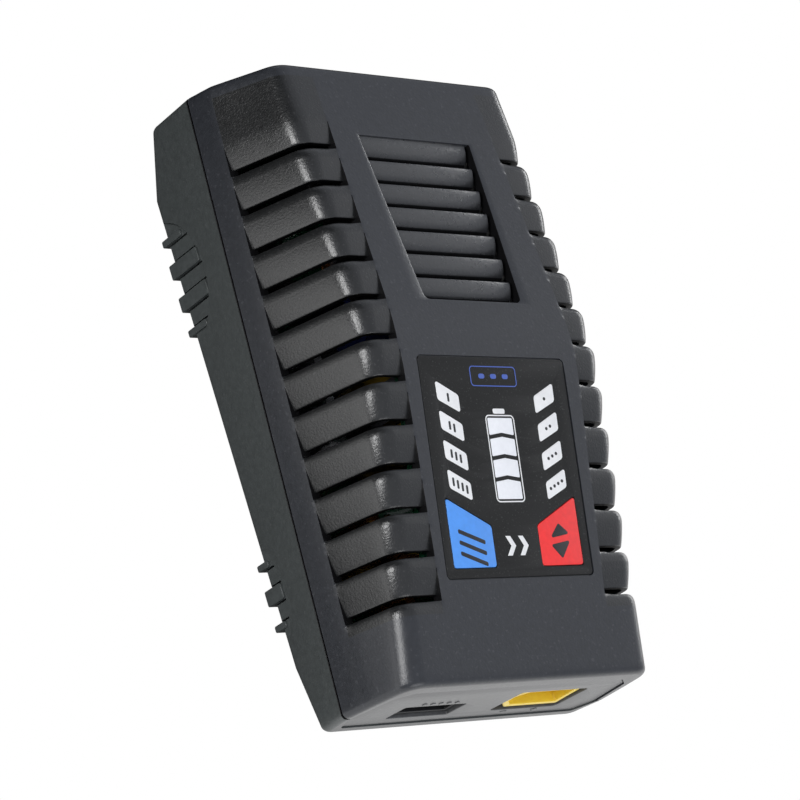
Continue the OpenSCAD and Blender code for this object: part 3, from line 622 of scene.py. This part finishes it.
window_flare = (-0.1, rounded(trapezoid(2.6), [3.8, 3.8, 3.0, 3.0]))
cutters = [
    prism(rounded(trapezoid(0), [1.2, 1.2, 0.4, 0.4]), -4.5, 1, GRILLE, window_flare),
    prism(rounded(rect(OVERLAY_W + 2 * RECESS_GAP, OVERLAY_L + 2 * RECESS_GAP), 1.1), RECESS_FLOOR, 3, LABEL),
    prism(near_loop(PANEL_GAP), -PANEL_IN, PANEL_OUT, NEAR_FACE),
    prism(far_loop(PANEL_GAP), -PANEL_OUT, PANEL_IN, FAR_FACE),
]
cut(top, cutters)
# The holes through the recess's floor are a cut of their own, because cutters mustn't overlap.
key_holes = [rounded(key_outline(s, 0.25), 0.9) for s in (-1, 1)]
light_holes = [rounded(light_outline(s, k, 0.15), 0.7) for s in (-1, 1) for k in range(4)]
bars_hole = rounded(rect(6.6, 15.9, 0, BARS_MID), 0.5)
cut(top, [prism(loop, HOLE_LOW, HOLE_HIGH, LABEL) for loop in key_holes + light_holes + [bars_hole]])
# The window's right wall is painted with shade (material 3), for the shade in the gap that the louvres' right
# ends leave there.
to_grille = (MM @ GRILLE).inverted()
window_mid = (WINDOW_HALF_NEAR + WINDOW_HALF_FAR) / 2
window_taper = (WINDOW_HALF_FAR - WINDOW_HALF_NEAR) / (2 * WINDOW_HALF_L)
for p in top.data.polygons:
    q = to_grille @ p.center
    on_wall = abs(q.x - window_mid - q.y * window_taper) < 0.3
    if on_wall and abs(q.y) < WINDOW_HALF_L + 0.2 and -4.6 < q.z < -0.3:
        p.material_index = 3
put(top, ["case_black", "gill_black", "end_grey", "painted_shade_black"], "case", ["top_shell"], 28)

# ---------- grille louvres ----------

LOUVRES = 7
LOUVRE_BACK = 0.3   # how far the blades sit towards the outputs
BLADE_FLOOR = -3.4
BLADE_DARK = -1.8   # below this the blades are painted with shade, for the grille's dark
LAST_STRETCH = 0.8   # the last blade reaches on under the window's far edge
# A blade's section, high towards the mains end, and its rings from left to right as (side, reach, drop).
BLADE = [(2.52, -0.75), (2.50, -0.52), (2.36, -0.38), (2.1, -0.36), (1.5, -0.44), (0.8, -0.62), (0.1, -0.88),
         (-0.5, -1.2), (-1.0, -1.6), (-1.35, -2.1), (-1.5, -2.6), (-1.5, -3.0), (-1.4, -3.15), (-1.1, -3.1),
         (-0.7, -2.75), (0.1, -2.2), (1.2, -1.8), (2.3, -1.6), (2.5, -1.4)]
BLADE_RINGS = ((-1, 0.3, 0.0), (1, -1.25, 0.0), (1, -1.05, 0.12), (1, -0.95, 0.45), (1, 0.3, 1.3))


def louvre(i):
    """Blade i, counted from the outputs. Its right end turns down before it reaches the window's edge."""
    v = -WINDOW_HALF_L + (i + 0.5) * 2 * WINDOW_HALF_L / LOUVRES - LOUVRE_BACK
    verts, faces, ids = [], [], []
    n = len(BLADE)
    for side, reach, drop in BLADE_RINGS:
        for a, b in BLADE:
            y = v + a + (LAST_STRETCH if i == LOUVRES - 1 and a > 2 else 0)
            half = window_mid + window_taper * y + reach - 0.1 * max(0, -a)
            verts.append((side * half, y, max(b - drop, BLADE_FLOOR)))
    spans = len(BLADE_RINGS) - 1
    for r in range(spans):
        for k in range(n):
            t = (k + 1) % n
            faces.append((r * n + k, r * n + t, (r + 1) * n + t, (r + 1) * n + k))
            # Faces below BLADE_DARK, the turned-down right end and the end caps take painted shade.
            ids.append(1 if (BLADE[k][1] + BLADE[t][1]) / 2 < BLADE_DARK or r == spans - 1 else 0)
    faces += [tuple(reversed(range(n))), tuple(range(spans * n, (spans + 1) * n))]
    return mesh_from("louvre", verts, faces, ids + [1, 1], GRILLE)


put(merge([louvre(i) for i in range(LOUVRES)], "grille_louvres"), ["louvre_black", "painted_shade_black"],
    "case", ["top_shell"], 40)

# ---------- bottom shell ----------

BASE_MID, BASE_SLOPE = -15.72, 0.081   # the flat base, seen from the tilted seam
NEAR_RISE_FROM, NEAR_EDGE = -47.2, -8.1   # where the base rises to the output end, and how high its edge ends
FAR_RISE_FROM, FAR_EDGE = 47.6, -14.6
SIDE_DRAFT = 0.178


def base_edge(y):
    """Height of the bottom shell's underside in the case frame."""
    plane = BASE_MID - BASE_SLOPE * y
    if y < NEAR_RISE_FROM:
        rise = NEAR_EDGE - BASE_MID + BASE_SLOPE * NEAR
        return plane + rise * (NEAR_RISE_FROM - y) / (NEAR_RISE_FROM - NEAR)
    if y > FAR_RISE_FROM:
        rise = FAR_EDGE - BASE_MID + BASE_SLOPE * FAR
        return plane + rise * (y - FAR_RISE_FROM) / (FAR - FAR_RISE_FROM)
    return plane


def lower_section(y, d):
    """Right half of the lower section, inset by d, from the seam to the middle, as upper_section."""
    z = base_edge(y) + d
    r = max(2 - d / 2, 0.6)
    w = half_w(y) - d
    seam_in = 0.0 if d >= WALL else SEAM_DEEP
    pts = [(w - seam_in, -0.15, 1, 0, 0, 0), (w - seam_in / 5, -0.16, 1, 0, 0, 0),
           (w - 0.03, -0.27, 1, 0, 0, 0)]
    low = z + r
    for t in (0.15, 0.4, 0.7, 1.0):
        zz = -0.27 + (low + 0.27) * t
        pts.append((w + SIDE_DRAFT * zz, zz, 1, 0, 0, 0))
    xr = w + SIDE_DRAFT * low
    for i in range(1, 7):
        a = pi / 2 * i / 6
        pts.append((xr - r + r * cos(a), z + r - r * sin(a), 0, 0, 0, 0))
    for x in (22, 12, 0):
        pts.append((x, z, 0, 0, 0, 0))
    return pts


def lower_mat(j, c):
    """0 case, 1 end cap, 2 painted shade in the seam groove."""
    if c < 0:
        return 1
    return 2 if min(c, low_cols - c) < 2 else 0


low_cols = 2 * len(lower_section(0, 0)) - 3
low_rows = end_rows(NEAR, 1) + plain_rows(-56, -52, -48.6, NEAR_RISE_FROM, -45.8, -40, -30, -15, 0)
low_rows += plain_rows(15, 30, 40, 46.2, FAR_RISE_FROM, 49, 54, 57.5) + end_rows(FAR, -1)[::-1]
low_out, low_in = grid_rows(low_rows, lower_section, False), grid_rows(low_rows, lower_section, True)
bottom = shell("bottom_shell_skin", low_out, low_in, lambda j, c: False, CASE, lower_mat)

FEET = ((31, 10.1, 4, 8.7), (-32.2, 6.55, 3, 4.6))   # middle Y, half length, ribs, height of the arch
RIB_PITCH, RIB_W, RIB_FROM, RIB_TO = 6.8, 3.0, 24.5, 31.9
POCKET = 31.4   # X of the pockets' back wall
ARCH_FOOT, ARCH_SPREAD, CASE_FOOT = 1.0, 3.0, 2.0
VENT_W, VENT_OFF = 0.4, 1.65   # width of a vent slot, and its distance from the gap's middle
SCREW_X, SCREW_YS, SCREW_BORE_R, SCREW_BORE_TOP = 26.5, (49, -51.5), 3.2, 4.1


def arch_loop(half, rise, grow, n=28):
    """Outline of an arched recess in (Y, Z) of the row frame; it runs out below the case."""
    r = ((half + ARCH_SPREAD) ** 2 + rise ** 2) / (2 * rise) + grow
    cz = CASE_FOOT + rise - r + grow
    a0 = math.asin(max(-1, min(1, (ARCH_FOOT - cz) / r)))
    pts = []
    for i in range(n + 1):
        a = pi - a0 - (pi - 2 * a0) * i / n
        pts.append((r * cos(a), cz + r * sin(a)))
    return pts + [(pts[-1][0], -3), (pts[0][0], -3)]


cutters = [
    prism(near_loop(PANEL_GAP), -PANEL_IN, PANEL_OUT, NEAR_FACE),
    prism(far_loop(PANEL_GAP), -PANEL_OUT, PANEL_IN, FAR_FACE),
]
vents, ribs = [], []
for y, half, count, rise in FEET:
    for side in (-1, 1):
        # local X is the row frame's Y (on the left, -Y), local Y is its Z, local Z points outwards
        turn = at(0, y, 0) @ Matrix(((0, 0, side, 0), (side, 0, 0, 0), (0, 1, 0, 0), (0, 0, 0, 1)))
        inner, outer = arch_loop(half, rise, 0), arch_loop(half, rise, 3.0)
        cutters.append(prism(inner, POCKET, 40, turn, (32.1, outer)))
        for i in range(1, count):
            for x0 in ((i - count / 2) * RIB_PITCH - VENT_OFF, (i - count / 2) * RIB_PITCH + VENT_OFF):
                tall = (rise - 1.2) * (1 - 0.35 * (x0 / half) ** 2)
                slot = rounded(rect(VENT_W, tall, side * x0, 1.4 + tall / 2), 0.15, 2)
                vents.append(prism(slot, 28, 33, turn))
        for i in range(count):
            mid = (i - (count - 1) / 2) * RIB_PITCH
            a, b = max(mid - RIB_W / 2, -half), min(mid + RIB_W / 2, half)
            top_z = rise * (0.62 if i in (0, count - 1) else 0.95) + 0.4
            corners = [(side * a, 0), (side * b, 0), (side * b, top_z), (side * a, top_z)]
            loop = rounded(corners, [0.3, 0.3, 0.5, 0.5], 3)
            ribs.append(plate("rib", [loop], RIB_FROM, RIB_TO, turn, 0.15))
for x in (-SCREW_X, SCREW_X):
    for y in SCREW_YS:
        bore = [(SCREW_BORE_R, -1), (SCREW_BORE_R, SCREW_BORE_TOP)]
        cutters.append(lathe("bore", bore, at(x, y, 0), 28))
cut(bottom, cutters)
cut(bottom, vents)
put(bottom, ["case_grey", "end_grey", "painted_shade_black"], "case", ["bottom_shell"], 28)
put(merge(ribs, "foot_ribs"), ["case_grey"], "case", ["bottom_shell"])

# ---------- end panels ----------

XT_X, XT_Z, BAL_X, BAL_Z = 13.2, 14.95, -13.4, 12.4   # middles of the two outputs in the row frame
PANEL_FRONT, PANEL_BACK, MARK_FRONT, MARK_BACK = -0.25, -2.1, -0.12, -0.5   # heights over the end's face


def near_xy(x, z):
    """Row-frame X and Z of a point on the near face as panel coordinates."""
    p = NEAR_FACE.inverted() @ Vector((x, -60.4, z))
    return p.x, p.y


xc, yc = near_xy(XT_X, XT_Z)
xb, yb = near_xy(BAL_X, BAL_Z)
xt_opening = rounded(rect(17.3, 9.7, xc + 0.1, yc - 0.25), 0.8)
balance_opening = rounded(rect(15.2, 5.9, xb, yb), 0.4)
panel_loops = [near_loop(0, 1.1), xt_opening, balance_opening]
put(plate("output_panel_face", panel_loops, PANEL_BACK, PANEL_FRONT, NEAR_FACE, 0.15),
    ["end_grey"], "case", ["output_panel"])


def panel_mark(w, h, x, y, r=0.2, front=MARK_FRONT):
    return plate("m", [rounded(rect(w, h, x, y), r, 3)], MARK_BACK, front, NEAR_FACE, 0.08)


# Five dots over the balance port, a minus and a plus under the XT60.
marks = [panel_mark(0.9, 0.9, xb + dx, yb + 4.2, 0.3) for dx in (-4, -2, 0, 2, 4)]
marks += [panel_mark(1.6, 0.45, xc - 4, yc - 6.1), panel_mark(1.6, 0.45, xc + 4, yc - 6.1),
          panel_mark(0.45, 1.6, xc + 4, yc - 6.1, front=MARK_FRONT + 0.01)]
put(merge(marks, "output_panel_marks"), ["end_grey"], "case", ["output_panel"])

inlet = FAR_FACE.inverted() @ Vector((0, 60.5, 16.6))
INLET_PITCH = 8.6   # between the two pins


def eight(r, n=15):
    """Outline of the two-pole inlet: two arcs of radius r joined across."""
    pts = []
    for side in (1, -1):
        for k in range(n):
            a = -side * pi / 2 + 0.4 + (pi - 0.8) * k / (n - 1)
            pts.append((side * INLET_PITCH / 2 + r * cos(a), inlet.y + r * sin(a)))
    return pts


put(plate("inlet_panel_face", [far_loop(0, 1.1), eight(4.7)], -PANEL_FRONT, -PANEL_BACK, FAR_FACE, 0.15),
    ["end_grey"], "case", ["inlet_panel"])
nose = plate("n", [eight(4.5), eight(3.7)], 0.9, 6.0, FAR_FACE, 0.15)
block = plate("b", [rounded(rect(20, 13, 0, inlet.y), 1.0)], 6.0, 18, FAR_FACE, 0.3)
put(merge([nose, block], "inlet_socket_body"), ["dark_plastic"], "case", ["inlet_socket"])

# ---------- output connector and balance port ----------

OUT = at(0, -59.5, 0) @ rx(90)   # local X = X, local Y = Z, local Z = -Y; 0 is the connector's mouth
XT_DEPTH, XT_WALL, XT_PIN_PITCH = 9, 1.1, 7.2


def xt_loop(g):
    """The connector's outline, shrunk by g: a rectangle with two corners cut."""
    w, h, c = 8 - g, 4.05 - g, 2.3 - 0.4 * g
    return rounded([(XT_X - w, XT_Z - h + c), (XT_X - w + c, XT_Z - h), (XT_X + w, XT_Z - h),
                    (XT_X + w, XT_Z + h), (XT_X - w + c, XT_Z + h), (XT_X - w, XT_Z + h - c)], 0.5, 4)


sleeve = plate("s", [xt_loop(0), xt_loop(XT_WALL)], -XT_DEPTH, 0, OUT, 0.18)
base = plate("f", [xt_loop(0)], -15.8, -XT_DEPTH, OUT, 0.18)
put(merge([sleeve, base], "xt60_body"), ["connector_yellow"], "case", ["xt60_housing"])
contact = [(0, -1.4), (1.15, -1.4), (1.6, -1.75), (1.75, -2.4), (1.75, -9.2), (1.75, -15.7), (1.3, -15.8),
           (1.3, -19.2), (1.1, -19.4), (0, -19.4)]
pins = [lathe("p", contact, OUT @ at(XT_X + side * XT_PIN_PITCH / 2, XT_Z, 0), 32) for side in (-1, 1)]
put(merge(pins, "xt60_contacts"), ["gold"], "case", ["xt60_pins"])

BAL = at(0, -59, 0) @ rx(90)
header_out = rounded(rect(14.9, 5.6, BAL_X, BAL_Z), 0.35)
header_in = rounded(rect(13.1, 3.8, BAL_X, BAL_Z), 0.25)
wall = plate("w", [header_out, header_in], -6.6, 0, BAL, 0.12)
back = plate("k", [header_out], -8.0, -6.6, BAL, 0.12)
put(merge([wall, back], "balance_header_body"), ["dark_plastic"], "case", ["balance_header"])

# ---------- front overlay, keys, windows ----------

KEY_R, LIGHT_R = (0.4, 0.9, 0.6, 0.6), (0.35, 0.85, 0.35, 0.85)   # corner radii, in the outlines' order
FACE = -0.1   # the overlay, keys and windows end this far under the case's face
GUIDE_LOW, RAIL_LOW, RAIL_HIGH = -4.6, -2.95, -2.35   # a light guide's studs, and the rail that joins them
LIGHT_X = 12.25   # from the middle of the overlay to the middle of a column of windows
holes = [rounded(key_outline(s, 0.16), KEY_R) for s in (-1, 1)]
holes += [rounded(light_outline(s, k, 0.03), LIGHT_R) for s in (-1, 1) for k in range(4)]
holes += [rounded(bar_outline(k, 0.03), [0.25, 0, 0.25, 0.25, 0, 0.25], 3) for k in range(4)]
film_loops = [rounded(rect(OVERLAY_W, OVERLAY_L), 0.8)] + holes
put(plate("overlay_film", film_loops, RECESS_FLOOR, FACE, LABEL, 0.06),
    ["overlay_print"], "case", ["front_overlay"])


def key(side, body, node, colour):
    """A key: its cap, the flange that holds it in and the stem on its switch."""
    corners = [(15.2, -8.2), (5.3, -11.3), (5.3, -17.4), (13.2, -17.4), (15.2, -15)]
    cap = plate("c", [rounded(key_outline(side, 0), KEY_R)], -2.6, FACE, LABEL, 0.1)
    flange = plate("f", [rounded([(side * x, y) for x, y in corners], 0.5)], -3.2, -2.6, LABEL, 0.1)
    stem_profile = [(0, -3.9), (1.4, -3.9), (1.5, -3.8), (1.5, -3.2), (0, -3.2)]
    stem = lathe("s", stem_profile, LABEL @ at(side * 11.2, -14, 0), 28)
    put(merge([cap, flange, stem], node + "_cap"), [colour], body, [node])


key(-1, "mode_button", "mode_key", "key_blue")
key(1, "current_button", "current_key", "key_red")
for side, node in ((-1, "mode_light_guide"), (1, "current_light_guide")):
    outlines = [rounded(light_outline(side, k, 0), LIGHT_R) for k in range(4)]
    lights = [plate("l", [loop], GUIDE_LOW, FACE, LABEL, 0.04) for loop in outlines]
    rail = rounded(rect(6.4, 20, side * LIGHT_X, 6.4), 0.4)
    lights.append(plate("l", [rail], RAIL_LOW, RAIL_HIGH, LABEL, 0.1))
    put(merge(lights, node + "_windows"), ["light_white"], "case", [node])
outlines = [rounded(bar_outline(k, 0), [0.22, 0, 0.22, 0.22, 0, 0.22], 3) for k in range(4)]
bars = [plate("b", [loop], GUIDE_LOW, FACE, LABEL, 0.04) for loop in outlines]
bars.append(plate("b", [rounded(rect(5.6, 15.2, 0, BARS_MID), 0.4)], RAIL_LOW, RAIL_HIGH, LABEL, 0.1))
put(merge(bars, "charge_bar_windows"), ["bar_white"], "case", ["charge_bar_guide"])


# ---------- print on the overlay: generic marks ----------

def mark(name, loops, colour, body):
    """Thin print on the face. A loop may be a list of loops, of which those after the first are holes."""
    shapes = [lp if isinstance(lp[0][0], (tuple, list)) else [lp] for lp in loops]
    objs = [plate("m", shape, FACE - 0.01, FACE + 0.03, LABEL, 0.008, 1) for shape in shapes]
    return put(merge(objs, name), [colour], body)


outer = rounded(rect(7.3, 16.2, 0, BARS_MID), 0.9)
inner = rounded(rect(6.84, 15.74, 0, BARS_MID), 0.68)
tip = rounded(rect(3, 0.95, 0, 10.3), 0.3, 3)
mark("battery_print", [[outer, inner], tip], "print_white", "case")
frame_out = rounded(rect(11.7, 3.8, -0.15, 16.8), 0.8)
frame_in = rounded(rect(11.34, 3.44, -0.15, 16.8), 0.62)
dots = [rounded(rect(1.5, 0.9, x - 0.15, 16.8), 0.4, 3) for x in (-3, 0, 3)]
mark("header_print", [[frame_out, frame_in]] + dots, "print_blue", "case")
chevron = [(-0.9, -16.4), (0.3, -14.6), (-0.9, -12.8), (0.3, -12.8), (1.5, -14.6), (0.3, -16.4)]
chevrons = [[(x + dx, y) for x, y in chevron] for dx in (-1.9, 1.3)]
mark("centre_print", chevrons, "print_white", "case")


def stroke(x, y):
    corners = [(x - 0.24, y - 0.8), (x + 0.24, y - 0.9), (x + 0.24, y + 0.7), (x - 0.24, y + 0.8)]
    return rounded(corners, 0.2, 3)


# One to four strokes on the left windows, one to four dots on the right ones.
counts = []
for side in (-1, 1):
    for k in range(4):
        for i in range(k + 1):
            x = side * (LIGHT_X + (i - k / 2) * 1.05)
            y = LIGHT_TOP - LIGHT_PITCH * k - 2.83 + (side * x - LIGHT_X) * 0.45
            counts.append(stroke(x, y) if side < 0 else rounded(rect(0.62, 0.62, x, y), 0.3, 4))
mark("window_print", counts, "print_black", "case")
slanted = []
for i in range(3):
    left, right, y = -14.4, -8.0, -11.6 - 2.0 * i
    slanted.append(rounded([(left, y + 0.3), (right, y - 1.9), (right, y - 2.7), (left, y - 0.5)], 0.25, 3))
mark("mode_key_print", slanted, "print_black", "mode_button")
tri = [rounded([(8.6, -13.4), (11.2, -10.6), (13.8, -12.6)], 0.3, 3),
       rounded([(8.6, -14.6), (13.8, -13.8), (11.2, -17.2)], 0.3, 3)]
mark("current_key_print", tri, "print_black", "current_button")

# ---------- fan rotor ----------

AX = GRILLE @ at(0, 0, -13)
FAN_BLADES, HUB_R, FAN_R, BLADE_MID_Z = 7, 7.6, 15.6, 4.3
# Section of a blade: (along, in half chords; thickness in mm).
FOIL = ((-1, 0.0), (-0.4, 0.32), (0.4, 0.32), (1, 0.0), (0.4, -0.32), (-0.4, -0.32))


def fan_blade(a0, n=9):
    """A swept blade from angle a0, of n sections from hub to tip, each flatter and longer than the last."""
    verts, faces = [], []
    q_count = len(FOIL)
    for k in range(n):
        out = k / (n - 1)
        r = HUB_R + (FAN_R - HUB_R) * out
        sweep = a0 + 0.35 * out ** 1.4
        pitch = 0.95 - 0.35 * out
        half = 2.6 + 0.5 * out
        for u, t in FOIL:
            along, up = u * half * cos(pitch) - t * sin(pitch), u * half * sin(pitch) + t * cos(pitch)
            b = sweep + along / r
            verts.append((r * cos(b), r * sin(b), BLADE_MID_Z + max(-2.2, min(2.6, up))))
    for k in range(n - 1):
        for q in range(q_count):
            p = (q + 1) % q_count
            faces.append((k * q_count + q, k * q_count + p, (k + 1) * q_count + p, (k + 1) * q_count + q))
    faces += [tuple(reversed(range(q_count))), tuple((n - 1) * q_count + q for q in range(q_count))]
    return mesh_from("blade", verts, faces, matrix=AX)


hub = [(0, 7.6), (6.6, 7.6), (7.6, 7.2), (8, 6.4), (8, 2.0), (7.4, 1.8), (7.0, 2.0), (7.0, 6.2), (0, 6.2)]
fan = [lathe("h", hub, AX, 48)]
fan += [fan_blade(2 * pi * i / FAN_BLADES) for i in range(FAN_BLADES)]
fan.append(lathe("a", [(0, 1.2), (0.95, 1.2), (0.95, 6.4), (0, 6.4)], AX, 20))
put(merge(fan, "fan_impeller"), ["dark_plastic"], "fan_wheel", ["fan_rotor"], 40)

# ---------- stage, light, camera ----------

# name: (place, size, power in watts); each lamp points at the case's middle.
LIGHTS = {
    "left": ((-0.72, -0.01, 0.37), (0.34, 0.30), 4.2),
    "right_up": ((0.75, 0.1, 0.8), (0.7, 0.7), 0.5),
    "front": ((0.1, -0.95, 0.4), (0.7, 0.5), 3.0),
    "right_low": ((0.85, 0.25, 0.10), (0.5, 0.14), 1.5),
}
SKY_HIGH, SKY_LOW = 0.60, 0.04
FLOOR_SOFT_SHARE = 0.35   # of the floor's glow, in light that isn't mirrored
FLOOR_HALF, FLOOR_Z = 3, -0.0002
CASE_MIDDLE = Vector((0, 0, 0.02))
LENS, SENSOR, SHIFT_X, SHIFT_Y = 144.297, 36, -0.050285, 0.016841
CAMERA_AT = (-0.409434, -0.195498, 0.415324)
CAMERA_TURN = (33.2052, -38.5936, -21.5804)   # degrees, about X, Y and Z


class NodeSet:
    """The nodes of one tree, with short calls for sums; a value may be a number or another node's output."""

    def __init__(self, tree):
        self.nodes, self.links = tree.nodes, tree.links

    def feed(self, value, socket):
        if isinstance(value, (int, float)):
            socket.default_value = value
        else:
            self.links.new(value, socket)

    def math(self, operation, a, b):
        node = self.nodes.new("ShaderNodeMath")
        node.operation = operation
        self.feed(a, node.inputs[0])
        self.feed(b, node.inputs[1])
        return node.outputs[0]

    def fade(self, value, from_min, from_max, to_min, to_max):
        node = self.nodes.new("ShaderNodeMapRange")
        self.feed(value, node.inputs["Value"])
        node.inputs["From Min"].default_value = from_min
        node.inputs["From Max"].default_value = from_max
        node.inputs["To Min"].default_value = to_min
        node.inputs["To Max"].default_value = to_max
        return node.outputs[0]

    def split(self, value):
        node = self.nodes.new("ShaderNodeSeparateXYZ")
        self.feed(value, node.inputs[0])
        return node.outputs


floor_mat = bpy.data.materials.new("floor")
floor_mat.use_nodes = True
tree = NodeSet(floor_mat.node_tree)
tree.nodes.remove(tree.nodes["Principled BSDF"])

# The floor shows plain white. It lights the case from beyond the long side, the output end and the right,
# and less towards the mains end.
place = tree.split(tree.nodes.new("ShaderNodeNewGeometry").outputs["Position"])
# Close beside the long side the glow is dim: a painted shadow of the case.
beside = tree.fade(place["X"], -0.06, -0.12, 0.1, 2.1)
before = tree.fade(place["Y"], -0.056, -0.064, 0.0, 1.35)
near_right = tree.fade(place["X"], 0.0, 0.02, 0.0, 1.0)
behind = tree.fade(place["Y"], 0.02, 0.075, 1.0, 0.04)
around = tree.math("MAXIMUM", tree.math("MAXIMUM", beside, before), near_right)
glow = tree.math("MULTIPLY", around, behind)
ray = tree.nodes.new("ShaderNodeLightPath").outputs
share = tree.fade(ray["Is Glossy Ray"], 0, 1, FLOOR_SOFT_SHARE, 1.0)
strength = tree.math("MAXIMUM", ray["Is Camera Ray"], tree.math("MULTIPLY", glow, share))
paper_white = tree.nodes.new("ShaderNodeEmission")
tree.feed(strength, paper_white.inputs["Strength"])
tree.feed(paper_white.outputs["Emission"], tree.nodes["Material Output"].inputs["Surface"])
bm = bmesh.new()
bmesh.ops.create_grid(bm, x_segments=1, y_segments=1, size=FLOOR_HALF)
me = bpy.data.meshes.new("floor")
bm.to_mesh(me)
bm.free()
floor = link_mesh("floor", me)
floor.location.z = FLOOR_Z
me.materials.append(floor_mat)

for light_name, (spot, size, power) in LIGHTS.items():
    li = bpy.data.lights.new(light_name, "AREA")
    li.shape = "RECTANGLE"
    li.size, li.size_y = size
    li.energy = power
    lamp = bpy.data.objects.new(light_name, li)
    bpy.context.scene.collection.objects.link(lamp)
    lamp.location = spot
    lamp.rotation_euler = (CASE_MIDDLE - Vector(spot)).to_track_quat("-Z", "Y").to_euler()
world = bpy.data.worlds.new("studio")
bpy.context.scene.world = world
world.use_nodes = True
tree = NodeSet(world.node_tree)

# The sky is bright overhead and on the right, and dim low down on the left and beyond the mains end.
toward = tree.split(tree.nodes.new("ShaderNodeTexCoord").outputs["Generated"])
rise = tree.fade(toward["Z"], 0.08, 0.55, SKY_LOW, SKY_HIGH)
dim = tree.fade(toward["Y"], 0.05, 0.40, 1.0, 0.08)
right = tree.fade(toward["X"], -0.35, 0.1, 0.0, SKY_HIGH)
level = tree.math("MAXIMUM", tree.math("MULTIPLY", rise, dim), right)
background = tree.nodes["Background"]
tree.feed(level, background.inputs["Strength"])
background.inputs["Color"].default_value = (0.93, 0.97, 1.06, 1)

cam_data = bpy.data.cameras.new("camera")
cam_data.lens = LENS
cam_data.sensor_width = SENSOR
cam_data.shift_x = SHIFT_X
cam_data.shift_y = SHIFT_Y
cam_data.clip_start, cam_data.clip_end = 0.01, 20
cam = bpy.data.objects.new("camera", cam_data)
bpy.context.scene.collection.objects.link(cam)
cam.location = CAMERA_AT
cam.rotation_euler = [radians(a) for a in CAMERA_TURN]
bpy.context.scene.camera = cam
bpy.context.scene.view_settings.view_transform = "Standard"
